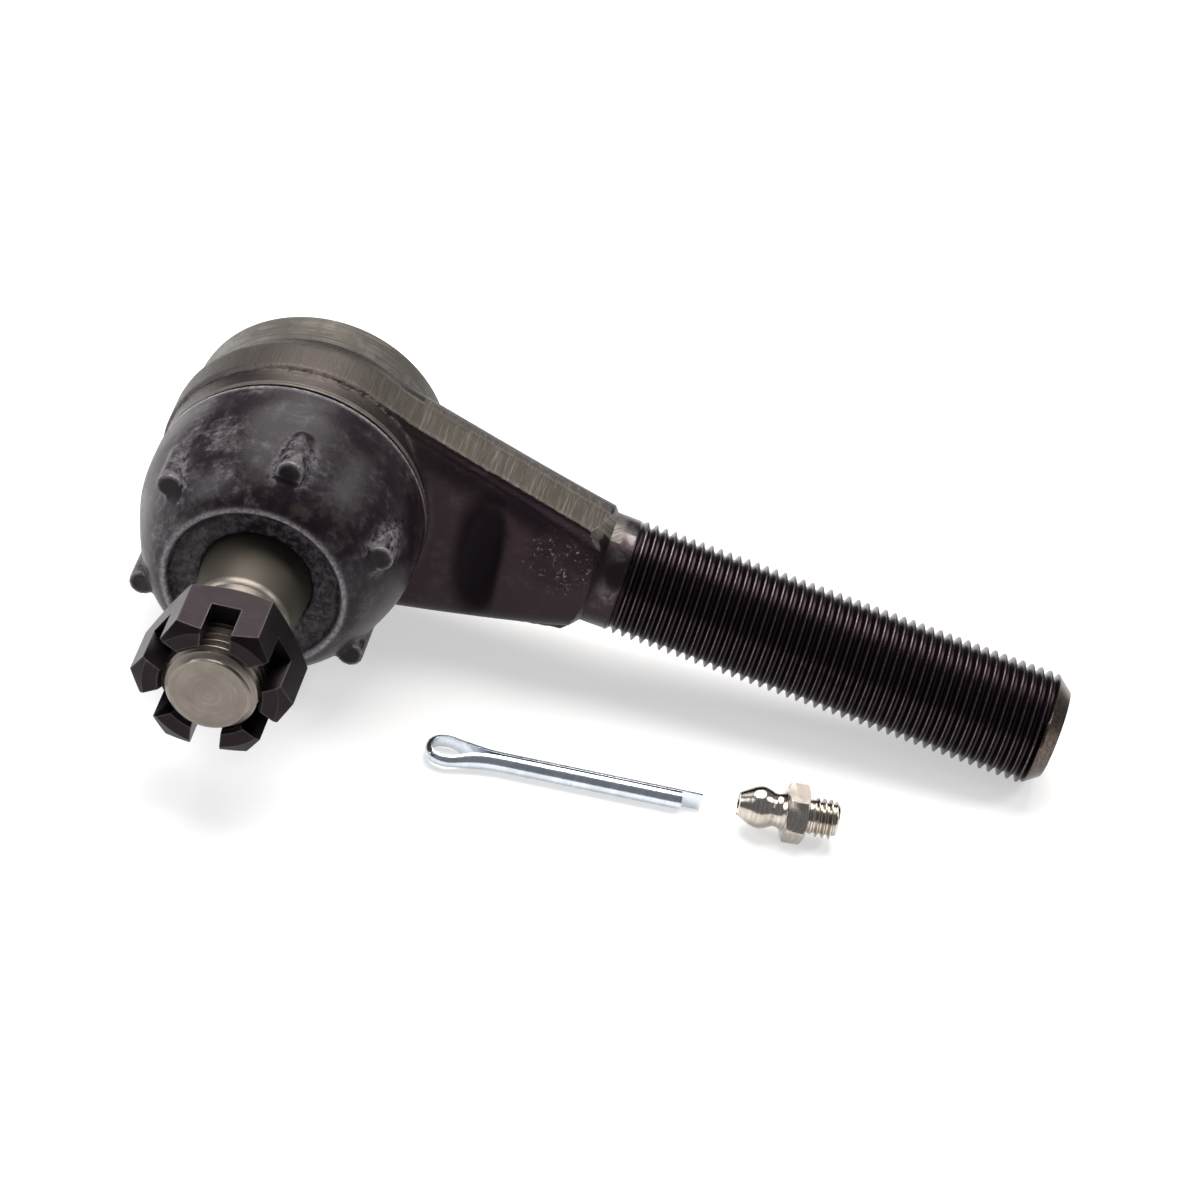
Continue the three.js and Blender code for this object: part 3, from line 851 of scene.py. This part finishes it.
def grease_fitting():
    blank = solid_spun("fitting_blank", [
        (0, 0), *rounded([(1.75, 0, 0.2), (2.95, 2.2, 0.3), (3.3, 3.4, 0.6), (2.95, 4.6, 0.5),
        (2.45, 5.6, 0.6), (2.6, 6.4, 0.4), (3.3, HEX_START + 0.2)], steps=5),
        (3.4, HEX_END), (2.6, HEX_END + 0.25), (2.4, HEX_END + 0.35), (2.4, 10.9), (2.6, 11.0)])
    screw = thread("fitting_thread", plain=2.6, **FITTING_THREAD)
    face = solid_spun("fitting_face", [(2.3, FITTING_LENGTH), (0, FITTING_LENGTH)])
    fitting = joined_watertight(blank, screw, face)
    fitting.name = "turned_grease_fitting"
    spanner_flats = hexagon("fitting_hexagon", FITTING_FLATS, HEX_START, HEX_END, 0,
                            FITTING_FLATS / 2 - 0.15, FITTING_FLATS / math.sqrt(3) + 0.1, 64)
    soften_edges(spanner_flats, 0.1, 2, MACHINED_EDGE)
    fitting = combine(fitting, spanner_flats, "UNION")
    passage = solid_spun("passage", [
        (0, -1), (0.7, -1), (0.7, 1.1), (1.35, 2.0), (1.35, 16), (0, 16)], steps=48)
    return combine(fitting, passage, "DIFFERENCE")


fitting = grease_fitting()
print("grease fitting corners:", len(fitting.data.vertices))

# %% [markdown]
# ## Cover plate
# The socket's back is closed by a pressed plate that the rim is rolled over. It stands out in the
# middle, round the hole for the grease fitting.

# %% Cover plate
cover = ring_spun("pressed_cover_plate", rounded([
    (2.6, -6.7), (16.7, -6.7, 0.2), (16.7, -7.9, 0.3), (9, -7.9, 1.5), (7, -8.9, 1.2), (2.9, -8.9),
    (2.6, -8.6)]), steps=128)
print("cover plate corners:", len(cover.data.vertices))

# %% [markdown]
# ## Finishes: reading the part's own axes
# A worn, turned or forged surface is marked along the way it was made: rings round an axis,
# streaks across a sheared edge. So each pattern reads the object's coordinates, and a Mapping
# node turns them into the piece's own axes in millimetres. These small helpers build the nodes.

# %% Tools for materials
def add_node(tree, kind, inputs=None, **settings):
    node = tree.nodes.new(kind)
    for key, value in settings.items():
        setattr(node, key, value)
    for key, value in (inputs or {}).items():
        if isinstance(value, bpy.types.NodeSocket):
            tree.links.new(value, node.inputs[key])
        else:
            node.inputs[key].default_value = value
    return node


def maths(tree, operation, first, second=0.0, third=0.0):
    inputs = {0: first, 1: second, 2: third}
    return add_node(tree, "ShaderNodeMath", inputs, operation=operation).outputs[0]


def times(tree, *values):
    result = values[0]
    for value in values[1:]:
        result = maths(tree, "MULTIPLY", result, value)
    return result


def spread(tree, value, low, high, to_low=0.0, to_high=1.0):
    """Stretches values between low and high over a new range, and clamps the rest."""
    inputs = {"Value": value, "From Min": low, "From Max": high, "To Min": to_low, "To Max": to_high}
    return add_node(tree, "ShaderNodeMapRange", inputs, interpolation_type="SMOOTHSTEP").outputs[0]


def cloud(tree, vector, scale, detail=3.0, roughness=0.55, distortion=0.0):
    inputs = {"Vector": vector, "Scale": scale, "Detail": detail, "Roughness": roughness,
              "Distortion": distortion}
    return add_node(tree, "ShaderNodeTexNoise", inputs).outputs["Fac"]


def mix_colours(tree, factor, first, second):
    first, second = ((*value, 1) if isinstance(value, tuple) else value for value in (first, second))
    inputs = {0: factor, 6: first, 7: second}
    return add_node(tree, "ShaderNodeMix", inputs, data_type="RGBA").outputs[2]


def mix_values(tree, factor, first, second):
    return add_node(tree, "ShaderNodeMix", {0: factor, 2: first, 3: second}).outputs[0]


def own_axes(tree, matrix):
    """The object's coordinates as millimetres along the piece's own axes."""
    back = matrix.inverted()
    coordinates = add_node(tree, "ShaderNodeTexCoord").outputs["Object"]
    inputs = {
        "Vector": coordinates,
        "Location": back.translation,
        "Rotation": back.to_euler(),
        "Scale": back.to_scale(),
    }
    return add_node(tree, "ShaderNodeMapping", inputs).outputs[0]


def stretched(tree, vector, scale):
    return add_node(tree, "ShaderNodeVectorMath", {0: vector, 1: scale}, operation="MULTIPLY").outputs[0]


def bump(tree, height, distance, strength, normal=None):
    inputs = {"Height": height, "Distance": distance * MM, "Strength": strength}
    if normal:
        inputs["Normal"] = normal
    return add_node(tree, "ShaderNodeBump", inputs).outputs[0]


def plug(tree, shader, **sockets):
    for name, socket in sockets.items():
        tree.links.new(socket, shader.inputs[name.replace("_", " ")])


def marked(tree, name):
    """Reads one of the marks that code has put on the corners of the mesh."""
    return add_node(tree, "ShaderNodeAttribute", attribute_name=name).outputs["Fac"]


def rest_of(tree, value):
    """What is left of one."""
    return maths(tree, "SUBTRACT", 1.0, value)


# %% [markdown]
# ## Finishes: effects that several materials share
# An effect is built once as a node group with named inputs. A group gives out only values that
# change over the surface, and each material sets its own amounts.

# %% Tool: making a node group
def effect(name, inputs, outputs):
    tree = bpy.data.node_groups.new(name, "ShaderNodeTree")
    for label, kind, value in inputs:
        socket = tree.interface.new_socket(label, in_out="INPUT", socket_type=kind)
        if value is not None:
            socket.default_value = value
    for label, kind in outputs:
        tree.interface.new_socket(label, in_out="OUTPUT", socket_type=kind)
    start = tree.nodes.new("NodeGroupInput")
    end = tree.nodes.new("NodeGroupOutput")
    return tree, start.outputs, end.inputs


def use_effect(tree, group, **inputs):
    node = add_node(tree, "ShaderNodeGroup", node_tree=group)
    for label, value in inputs.items():
        socket = node.inputs[label.replace("_", " ")]
        if isinstance(value, bpy.types.NodeSocket):
            tree.links.new(value, socket)
        else:
            socket.default_value = value
    return node.outputs


FLOAT, VECTOR = "NodeSocketFloat", "NodeSocketVector"

# %% [markdown]
# Edge wear: a corner that sticks out is rubbed bright. The Bevel node gives the normal that a
# rounded edge would have, so where it differs from the true normal there is an edge nearby. A
# noise breaks the worn line up.

# %% Effect: edge wear
def edge_wear_effect():
    tree, given, out = effect(
        "edge_wear",
        [("Axes", VECTOR, None), ("Width mm", FLOAT, 0.3), ("Breaks", FLOAT, 0.5)],
        [("Mask", FLOAT)])
    width = times(tree, given["Width mm"], MM)
    soft = add_node(tree, "ShaderNodeBevel", {"Radius": width}, samples=4).outputs["Normal"]
    true = add_node(tree, "ShaderNodeNewGeometry").outputs["Normal"]
    alike = add_node(tree, "ShaderNodeVectorMath", {0: soft, 1: true}, operation="DOT_PRODUCT")
    edge = spread(tree, rest_of(tree, alike.outputs["Value"]), 0.01, 0.12)
    broken = spread(tree, cloud(tree, given["Axes"], 0.9, 4), 0.35, 0.62)
    kept = rest_of(tree, times(tree, given["Breaks"], broken))
    tree.links.new(times(tree, edge, kept), out["Mask"])
    return tree


# %% [markdown]
# Turning marks: a lathe tool leaves fine rings. Distance along the axis and distance from it
# are added, so the rings cross a cylinder and circle a flat face alike.

# %% Effect: turning marks
def turning_effect():
    tree, given, out = effect(
        "turning_marks",
        [("Axes", VECTOR, None), ("Rings per mm", FLOAT, 3.0), ("Smear", FLOAT, 0.12)],
        [("Rings", FLOAT), ("Smears", FLOAT), ("Radius", FLOAT)])
    parts = add_node(tree, "ShaderNodeSeparateXYZ", {0: given["Axes"]}).outputs
    flat = add_node(tree, "ShaderNodeCombineXYZ", {"Y": parts["Y"], "Z": parts["Z"]}).outputs[0]
    length = add_node(tree, "ShaderNodeVectorMath", {0: flat}, operation="LENGTH")
    out_from_axis = length.outputs["Value"]
    ring = times(tree, maths(tree, "ADD", parts["X"], out_from_axis), given["Rings per mm"])
    smear = add_node(tree, "ShaderNodeCombineXYZ", {
        "X": ring,
        "Y": times(tree, parts["Y"], given["Smear"]),
        "Z": times(tree, parts["Z"], given["Smear"]),
    }).outputs[0]
    tree.links.new(out_from_axis, out["Radius"])
    tree.links.new(cloud(tree, smear, 1.0, 4, 0.65), out["Rings"])
    tree.links.new(cloud(tree, given["Axes"], 0.28, 4, 0.6, 0.6), out["Smears"])
    return tree


# %% [markdown]
# Grain: a cast, forged or moulded surface is never one shade. Wide clouds and fine specks come
# out as two values, with a height for bump.

# %% Effect: grain
def grain_effect():
    tree, given, out = effect(
        "grain",
        [("Axes", VECTOR, None), ("Cloud scale", FLOAT, 0.12), ("Speck scale", FLOAT, 2.5)],
        [("Clouds", FLOAT), ("Specks", FLOAT), ("Height", FLOAT)])
    clouds = cloud(tree, given["Axes"], given["Cloud scale"], 4, 0.6, 0.4)
    specks = cloud(tree, given["Axes"], given["Speck scale"], 5, 0.7)
    tree.links.new(clouds, out["Clouds"])
    tree.links.new(spread(tree, specks, 0.3, 0.7), out["Specks"])
    tree.links.new(maths(tree, "MULTIPLY_ADD", specks, 0.7, clouds), out["Height"])
    return tree


EDGE_WEAR = edge_wear_effect()
TURNING = turning_effect()
GRAIN = grain_effect()
print("effects:", [group.name for group in (EDGE_WEAR, TURNING, GRAIN)])

# %% [markdown]
# ## Finish: the forging
# One forging shows five surfaces: dark smooth skin, the pale sheared band, bare turned steel,
# the smooth neck and the oiled black thread. Code marks the corners of the mesh that belong to
# each, from their place and the way they face. The material mixes them by those marks, with a
# noise that frays the borders. Two more marks say where scale and the shallow hollow are; the
# hollow is darkened with painted shade.

# %% Marks on the forging
def mark(piece, name, values):
    attribute = piece.data.attributes.new(name, "FLOAT", "POINT")
    attribute.data.foreach_set("value", np.asarray(values, np.float32))


def soft_step(values, low, high):
    t = np.clip((values - low) / (high - low), 0, 1)
    return t * t * (3 - 2 * t)


def mark_forging(piece):
    x, y, z = corners(piece).T
    facing = np.empty(len(piece.data.vertices) * 3)
    piece.data.vertices.foreach_get("normal", facing)
    facing = facing.reshape(-1, 3)
    station = -y
    from_stud = np.hypot(x, z)
    from_middle = np.abs(station - BAND_STATION - BAND_LEAN * z)
    sideways = 1 - soft_step(np.abs(facing[:, 1]), 0.35, 0.75)
    in_band = 1 - soft_step(from_middle, BAND_WIDTH / 2 - 0.1, BAND_WIDTH / 2 + 0.25)
    in_band = np.maximum(in_band, (x > 14) & (station < 0) & (station > -4.5))
    on_arm = soft_step(np.abs(z), arm_half(x) - 1.1, arm_half(x) - 0.55)
    on_socket = soft_step(from_stud, BAND_RADIUS - 1.0, BAND_RADIUS - 0.55)
    proud = np.where(x < ARM_START, on_socket, on_arm)
    mark(piece, "band", in_band * sideways * proud * (x < NECK_START - 1.2))
    rear = (station < -0.75) & (from_stud < REAR_RADIUS + 0.12)
    ring = (station > SOCKET_FRONT - 0.9) & (from_stud < 23) & (x < 22)
    from_axis = np.hypot(y, z)
    on_cone = np.abs(from_axis - (NECK_RADIUS + (NECK_START - x) * 1.128)) < 0.12
    cone = (x > 42) & (x < NECK_START + 0.3) & on_cone & (np.abs(z - 1.5) > 6.5)
    mark(piece, "turned", rear | ring | cone)
    mark(piece, "neck", soft_step(x, NECK_START, NECK_START + 0.2) * (x < SHANK_START + 0.4))
    mark(piece, "thread", x > SHANK_START + 0.2)
    from_pits = np.linalg.norm(corners(piece) - np.array(PITS_CENTRE), axis=1)
    mark(piece, "scale", 1 - soft_step(from_pits, PITS_REACH * 0.45, PITS_REACH))
    # The shallow hollow, where the skin gets painted shade.
    from_scoop = x - SCOOP["x"] - 0.4 + 0.15 * z
    across = np.abs(from_scoop) / np.where(from_scoop < 0, 5.6, 2.8)
    into_scoop = across ** 2.5 + (np.abs(z - 0.8) / 11.5) ** 4
    mark(piece, "hollow", (1 - soft_step(into_scoop, 0.25, 1.1)) * soft_step(station, 5.5, 7.5))


def mark_stud(piece):
    station = corners(piece)[:, 0]
    mark(piece, "ground", station > 10)


mark_forging(forging)
mark_stud(stud)
print("marks:", [a.name for a in forging.data.attributes if a.data_type == "FLOAT"])

# %% [markdown]
# The skin is nearly black with a violet cast and brown clouds, and the scale by the neck has
# painted glints for its sparkle. The band has streaks straight across it, from the shear.

# %% Material: forged steel
SKIN_DARK = (0.032, 0.0205, 0.0255)
SKIN_BROWN = (0.06, 0.05, 0.045)
HOLLOW_PAINTED_SHADE = (0.0035, 0.0012, 0.0028)
PAINTED_SCALE_GLINT = (0.4, 0.36, 0.36)
BAND_BASE = (0.085, 0.072, 0.06)
BAND_LIGHT = (0.19, 0.17, 0.145)
TURNED_BASE = (0.1, 0.09, 0.078)
TURNED_LIGHT = (0.23, 0.212, 0.186)
NECK_DARK, NECK_SMEAR_AND_HIGHLIGHT = (0.035, 0.026, 0.03), (0.16, 0.145, 0.14)
THREAD_BLACK = (0.0265, 0.0165, 0.0215)
CREST_WEAR_AND_GLINT = (0.11, 0.09, 0.1)
END_DARK, END_BROWN = (0.05, 0.038, 0.032), (0.13, 0.105, 0.085)
CREST_RADIUS = SHANK_RADIUS - 0.16


def forged_steel():
    material, tree, shader = new_material("forged_steel", specular=0.3)
    axes, stud_axes = own_axes(tree, PART), own_axes(tree, STUD)
    grain = use_effect(tree, GRAIN, Axes=axes, Cloud_scale=0.1, Speck_scale=2.2)
    rings = use_effect(tree, TURNING, Axes=stud_axes, Rings_per_mm=2.2, Smear=0.1)
    shank = use_effect(tree, TURNING, Axes=axes, Rings_per_mm=2.0, Smear=0.1)
    along = add_node(tree, "ShaderNodeSeparateXYZ", {0: axes}).outputs["X"]
    fray = maths(tree, "SUBTRACT", cloud(tree, axes, 1.3, 3), 0.5)

    def border(name, amount):
        return spread(tree, maths(tree, "MULTIPLY_ADD", fray, amount, marked(tree, name)), 0.4, 0.6)

    in_band, in_turned = border("band", 0.8), border("turned", 0.15)
    in_thread, in_neck = marked(tree, "thread"), marked(tree, "neck")

    # Skin: brown round the socket, violet black along the arm.
    brown_clouds = spread(tree, grain["Clouds"], 0.3, 0.6, 0.35, 1.0)
    browned = times(tree, spread(tree, along, 25.0, 6.0), brown_clouds)
    rusted = spread(tree, cloud(tree, axes, 0.16, 4, 0.65), 0.5, 0.7, 0.0, 0.4)
    skin = mix_colours(tree, maths(tree, "MAXIMUM", browned, rusted), SKIN_DARK, SKIN_BROWN)
    # Painted shade: the shallow hollow is darkened nearly to black.
    skin = mix_colours(tree, times(tree, marked(tree, "hollow"), 0.94), skin, HOLLOW_PAINTED_SHADE)

    # Band: streaks straight across it.
    streaks = cloud(tree, stretched(tree, axes, (3.2, 0.16, 3.2)), 1.0, 3, 0.7)
    wide_streaks = cloud(tree, stretched(tree, axes, (0.9, 0.05, 0.9)), 1.0, 2)
    streaked = times(tree, spread(tree, streaks, 0.4, 0.72), spread(tree, wide_streaks, 0.3, 0.65))
    band = mix_colours(tree, streaked, BAND_BASE, BAND_LIGHT)
    band = mix_colours(tree, spread(tree, along, 2.0, 17.0, 0.2, 1.0), SKIN_BROWN, band)

    # Bare steel where the lathe has cut, and the neck and the thread.
    ringed = times(tree, spread(tree, rings["Rings"], 0.35, 0.7), spread(tree, rings["Smears"], 0.3, 0.7))
    turned_steel = mix_colours(tree, ringed, TURNED_BASE, TURNED_LIGHT)
    # The neck's pale smears are partly its own tone and partly a painted highlight.
    neck = mix_colours(tree, spread(tree, shank["Smears"], 0.4, 0.7), NECK_DARK, NECK_SMEAR_AND_HIGHLIGHT)
    # Crests: pale where the thread is worn bare, and a painted glint along every crest.
    crest_wear_and_glint = times(tree, spread(tree, shank["Radius"], CREST_RADIUS, SHANK_RADIUS),
                  spread(tree, grain["Specks"], 0.0, 0.8, 0.35, 1.0))
    threads = mix_colours(tree, crest_wear_and_glint, THREAD_BLACK, CREST_WEAR_AND_GLINT)
    end = mix_colours(tree, grain["Specks"], END_DARK, END_BROWN)
    threads = mix_colours(tree, spread(tree, along, SHANK_END - 2.7, SHANK_END - 2.2), threads, end)

    # Painted glints: bright specks on the scale by the neck, in place of its sparkle.
    sparks = spread(tree, cloud(tree, axes, 1.9, 6, 0.75), 0.56, 0.68)
    clusters = spread(tree, cloud(tree, axes, 0.45, 3), 0.42, 0.56)
    painted_glints = times(tree, sparks, clusters, marked(tree, "scale"))
    skin = mix_colours(tree, painted_glints, skin, PAINTED_SCALE_GLINT)
    colour = skin
    for mask, layer in ((in_band, band), (in_turned, turned_steel), (in_neck, neck), (in_thread, threads)):
        colour = mix_colours(tree, mask, colour, layer)
    bare = maths(tree, "MAXIMUM", in_band, in_turned)
    rough = mix_values(tree, grain["Specks"], 0.34, 0.5)
    rough = mix_values(tree, bare, rough, mix_values(tree, grain["Specks"], 0.42, 0.58))
    rough = mix_values(tree, maths(tree, "MAXIMUM", in_thread, in_neck), rough, 0.27)
    normal = None
    for height, mask, distance, strength in (
            (grain["Height"], rest_of(tree, in_thread), 0.06, 0.5), (streaks, in_band, 0.09, 0.7),
            (rings["Rings"], in_turned, 0.05, 0.6),
            (cloud(tree, axes, 2.4, 4, 0.7), marked(tree, "scale"), 0.3, 0.9)):
        normal = bump(tree, times(tree, height, mask), distance, strength, normal)
    metal = mix_values(tree, bare, 0.9, 0.75)
    plug(tree, shader, Base_Color=colour, Roughness=rough, Metallic=metal, Normal=normal)
    return material


FORGED_STEEL = forged_steel()

# %% [markdown]
# ## Finish: boot rubber
# Old-stock rubber is black underneath, with a chalky violet-grey bloom that sits in patches and
# is rubbed into fine scratches, and its rims are worn paler. The bosses' front faces are kept
# bare black as painted shade.

# %% Marks on the boot
MOUTH_RADIUS = 13.7
RECESS_RADIUS, RECESS_STATION = 13.1, 31.5
SKIRT_STATION = 12.6


def mark_boot(piece):
    station, y, z = corners(piece).T
    radius = np.hypot(y, z)
    front_rim = np.exp(-((radius - MOUTH_RADIUS) / 0.45) ** 2) * (station > 34.0)
    back_rim = np.exp(-((station - SKIRT_STATION) / 0.5) ** 2) * (radius > 21.0)
    scuffs, ends = np.zeros(len(radius)), np.zeros(len(radius))
    worn = np.maximum(front_rim, back_rim * 0.7)
    for boss_y, boss_z in boss_places():
        away = np.hypot(y - boss_y, z - boss_z)
        near = np.exp(-((away - BOSS_RADIUS - 0.3) / 1.1) ** 2)
        scuffs += near * soft_step(station, 21.5, 26) * (1 - soft_step(station, BOSS_FRONT, BOSS_FRONT + 2))
        # The bosses' front faces, kept bare black in the material as painted shade.
        on_end = (away < BOSS_RADIUS + 0.1) & (station > BOSS_FRONT - 0.5)
        ends += on_end
        outer_edge = np.exp(-((away - BOSS_RADIUS + 0.15) / 0.25) ** 2) * on_end
        outer_edge *= radius > BOSS_REACH - 0.8
        worn = np.maximum(worn, outer_edge * 0.6)
    # The bloom is weighted down towards the shank's side, so that side comes out darker.
    mark(piece, "chalk", 0.35 + 0.65 * soft_step(-y, -9.0, 9.0))
    mark(piece, "rims", worn)
    mark(piece, "scuffs", np.clip(scuffs, 0, 1))
    mark(piece, "ends", np.clip(ends, 0, 1))
    mark(piece, "recess", (radius < RECESS_RADIUS) & (station > RECESS_STATION))


mark_boot(boot)
print("marks:", [a.name for a in boot.data.attributes if a.data_type == "FLOAT"])

# %% Material: boot rubber
RUBBER_BLACK = (0.0115, 0.006, 0.0098)
RUBBER_BROWN = (0.034, 0.028, 0.025)
BLOOM = (0.17, 0.153, 0.17)
RIM_WEAR = (0.42, 0.39, 0.42)


def boot_rubber():
    material, tree, shader = new_material("boot_rubber", specular=0.16)
    axes = own_axes(tree, STUD)
    grain = use_effect(tree, GRAIN, Axes=axes, Cloud_scale=0.075, Speck_scale=1.6)
    scuffs = use_effect(tree, TURNING, Axes=axes, Rings_per_mm=1.6, Smear=0.22)
    scratch = cloud(tree, axes, 0.8, 8, 0.75, 0.3)
    fine = spread(tree, scratch, 0.42, 0.6)
    lumps = mix_values(tree, 0.5, cloud(tree, axes, 0.3, 4, 0.7), grain["Clouds"])
    patches = times(tree, spread(tree, lumps, 0.44, 0.62), marked(tree, "chalk"))
    ringed = spread(tree, scuffs["Rings"], 0.4, 0.64, 0.35, 1.0)
    powder = times(tree, patches, ringed, spread(tree, fine, 0.0, 1.0, 0.3, 1.0))
    for name, amount in (("scuffs", 0.85), ("recess", 0.5)):
        rubbed = times(tree, marked(tree, name), fine, amount)
        powder = maths(tree, "MAXIMUM", powder, rubbed)
    # Painted shade: no bloom on the bosses' front faces, so they stay black.
    powder = times(tree, powder, rest_of(tree, marked(tree, "ends")))
    base = mix_colours(tree, spread(tree, scuffs["Smears"], 0.5, 0.72), RUBBER_BLACK, RUBBER_BROWN)
    colour = mix_colours(tree, powder, base, BLOOM)
    broken = spread(tree, grain["Specks"], 0.1, 0.9, 0.45, 1.0)
    worn = times(tree, marked(tree, "rims"), broken)
    colour = mix_colours(tree, worn, colour, RIM_WEAR)
    rough = mix_values(tree, powder, 0.3, 0.7)
    height = maths(tree, "MULTIPLY_ADD", scratch, 0.35, grain["Height"])
    plug(tree, shader, Base_Color=colour, Roughness=rough, Normal=bump(tree, height, 0.07, 0.5))
    return material


BOOT_RUBBER = boot_rubber()

# %% [markdown]
# ## Finish: bare, plated and blackened metals
# The stud, the nut, the pin and the grease fitting are all small machined parts. They share one
# recipe: a base shade, rings from the lathe, smears of oil and bright edges. Each finish is one
# row of a table.

# %% Materials: small machined parts
METALS = {
    # name: axes, base, light, metallic, roughness low and high, rings per mm, ring depth, wear
    "stud_steel": (STUD, (0.17, 0.148, 0.126), (0.26, 0.232, 0.2), 0.85, (0.36, 0.48), 1.7, 0.02, 0.5),
    "nut_black": (STUD, (0.016, 0.0115, 0.0135), (0.025, 0.0185, 0.021), 0.95, (0.34, 0.46), 1.5, 0.02, 0.3),
    "pin_zinc": (PIN, (0.55, 0.6, 0.66), (0.8, 0.84, 0.88), 1.0, (0.16, 0.28), 0.6, 0.02, 0.3),
    "fitting_nickel": (FITTING, (0.4, 0.35, 0.3), (0.72, 0.68, 0.62), 1.0, (0.1, 0.2), 5.0, 0.02, 0.3),
    "cover_steel": (STUD, (0.17, 0.155, 0.135), (0.3, 0.28, 0.25), 0.85, (0.32, 0.46), 2.0, 0.04, 0.6),
    "spring_steel": (STUD, (0.07, 0.072, 0.078), (0.2, 0.2, 0.21), 0.9, (0.26, 0.38), 3.0, 0.03, 0.6),
    "ring_steel": (STUD, (0.12, 0.115, 0.11), (0.25, 0.24, 0.23), 0.9, (0.3, 0.42), 3.0, 0.03, 0.6),
    "sintered_bearing": (STUD, (0.13, 0.1, 0.075), (0.24, 0.2, 0.16), 0.6, (0.5, 0.68), 1.0, 0.08, 0.3),
}
RUBBED_EDGE = (0.75, 0.73, 0.7)
GROUND_FROM, GROUND_TO = 7.56, 7.62  # the taper's own brown starts at this radius
GROUND_BROWN = (0.078, 0.068, 0.055)


def machined_metal(name, matrix, base, light, metallic, roughness, rings_per_mm, depth, wear_amount):
    material, tree, shader = new_material(name, metallic=metallic, specular=0.4)
    axes = own_axes(tree, matrix)
    rings = use_effect(tree, TURNING, Axes=axes, Rings_per_mm=rings_per_mm, Smear=0.08)
    grain = use_effect(tree, GRAIN, Axes=axes, Cloud_scale=0.3, Speck_scale=4.0)
    wear = use_effect(tree, EDGE_WEAR, Axes=axes, Width_mm=0.4, Breaks=0.3)["Mask"]
    shade = times(tree, spread(tree, rings["Rings"], 0.2, 0.8), spread(tree, rings["Smears"], 0.25, 0.7))
    colour = mix_colours(tree, shade, base, light)
    bright = mix_colours(tree, 0.3, light, RUBBED_EDGE)
    colour = mix_colours(tree, times(tree, wear, wear_amount), colour, bright)
    ground = times(tree, marked(tree, "ground"), spread(tree, rings["Radius"], GROUND_FROM, GROUND_TO))
    colour = mix_colours(tree, ground, colour, GROUND_BROWN)
    rough = mix_values(tree, times(tree, grain["Specks"], rings["Smears"]), *roughness)
    rough = maths(tree, "MULTIPLY_ADD", ground, 0.18, rough)
    height = maths(tree, "MULTIPLY_ADD", grain["Specks"], 0.3, rings["Rings"])
    plug(tree, shader, Base_Color=colour, Roughness=rough, Normal=bump(tree, height, depth, 0.7))
    return material


FINISHES = {name: machined_metal(name, *values) for name, values in METALS.items()}
print("finishes:", sorted(FINISHES))

# %% [markdown]
# ## Putting it together
# Each finished mesh goes to its place and rides on the body it belongs to. The boot bends
# between two bodies. Pieces inside the socket stay as the measured model made them and only
# get their finish.

# %% Place every piece
finish_piece(forging, FORGED_STEEL, PART, "socket", ["forged_body"])
finish_piece(cover, FINISHES["cover_steel"], STUD, "socket", ["cover_plate"])
finish_piece(boot, BOOT_RUBBER, STUD, None, ["dust_boot"])
finish_piece(stud, FINISHES["stud_steel"], STUD, "stud", ["ball_stud"])
finish_piece(nut, FINISHES["nut_black"], STUD, "nut", ["castle_nut"])
finish_piece(pin, FINISHES["pin_zinc"], PIN, "loose_pin", ["cotter_pin"])
finish_piece(fitting, FINISHES["fitting_nickel"], FITTING, "loose_fitting",
             ["grease_fitting_body"])

# %% The boot bends from its rim to its lip
BEND_FROM, BEND_TO = 16.5, 29.0
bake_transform(boot, "bearing", "boot_lip", start=PART @ Vector((0, -BEND_FROM, 0)),
         end=PART @ Vector((0, -BEND_TO, 0)))

# %% Finishes for the pieces kept from the measured model
KEPT = {
    "preload_disc_spring": "spring_steel",
    "rear_ball_seat": "sintered_bearing",
    "front_bearing": "sintered_bearing",
    "boot_seat_ring": "ring_steel",
    "boot_lip_ring": "ring_steel",
    "grease_fitting_ball": "spring_steel",
}

for node, finish in KEPT.items():
    kept = frame["nodes"][node]
    kept.data.materials.clear()
    kept.data.materials.append(FINISHES[finish])
    print(node, "->", finish)

# %% [markdown]
# The grease fitting's spring is squeezed when its check ball is pressed in. So it is a copy of the
# measured coil that bends: the coils by the ball follow the ball, and the far end stays put.

# %% Spring between the ball and the fitting
SPRING_FAR, SPRING_NEAR = 13.6, 3.8


def squeezed_spring():
    measured = frame["nodes"]["grease_fitting_spring"]
    coil = add_object("squeezed_spring", measured.data.copy(), measured.matrix_world)
    activate(coil)
    merge_doubles(WELD * MM)
    deselect()
    return coil


spring = squeezed_spring()
finish_piece(spring, FINISHES["spring_steel"], Matrix.Identity(4), None,
             ["grease_fitting_spring"])
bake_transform(spring, "loose_fitting", "check_ball", start=FITTING @ Vector((SPRING_FAR, 0, 0)),
         end=FITTING @ Vector((SPRING_NEAR, 0, 0)))
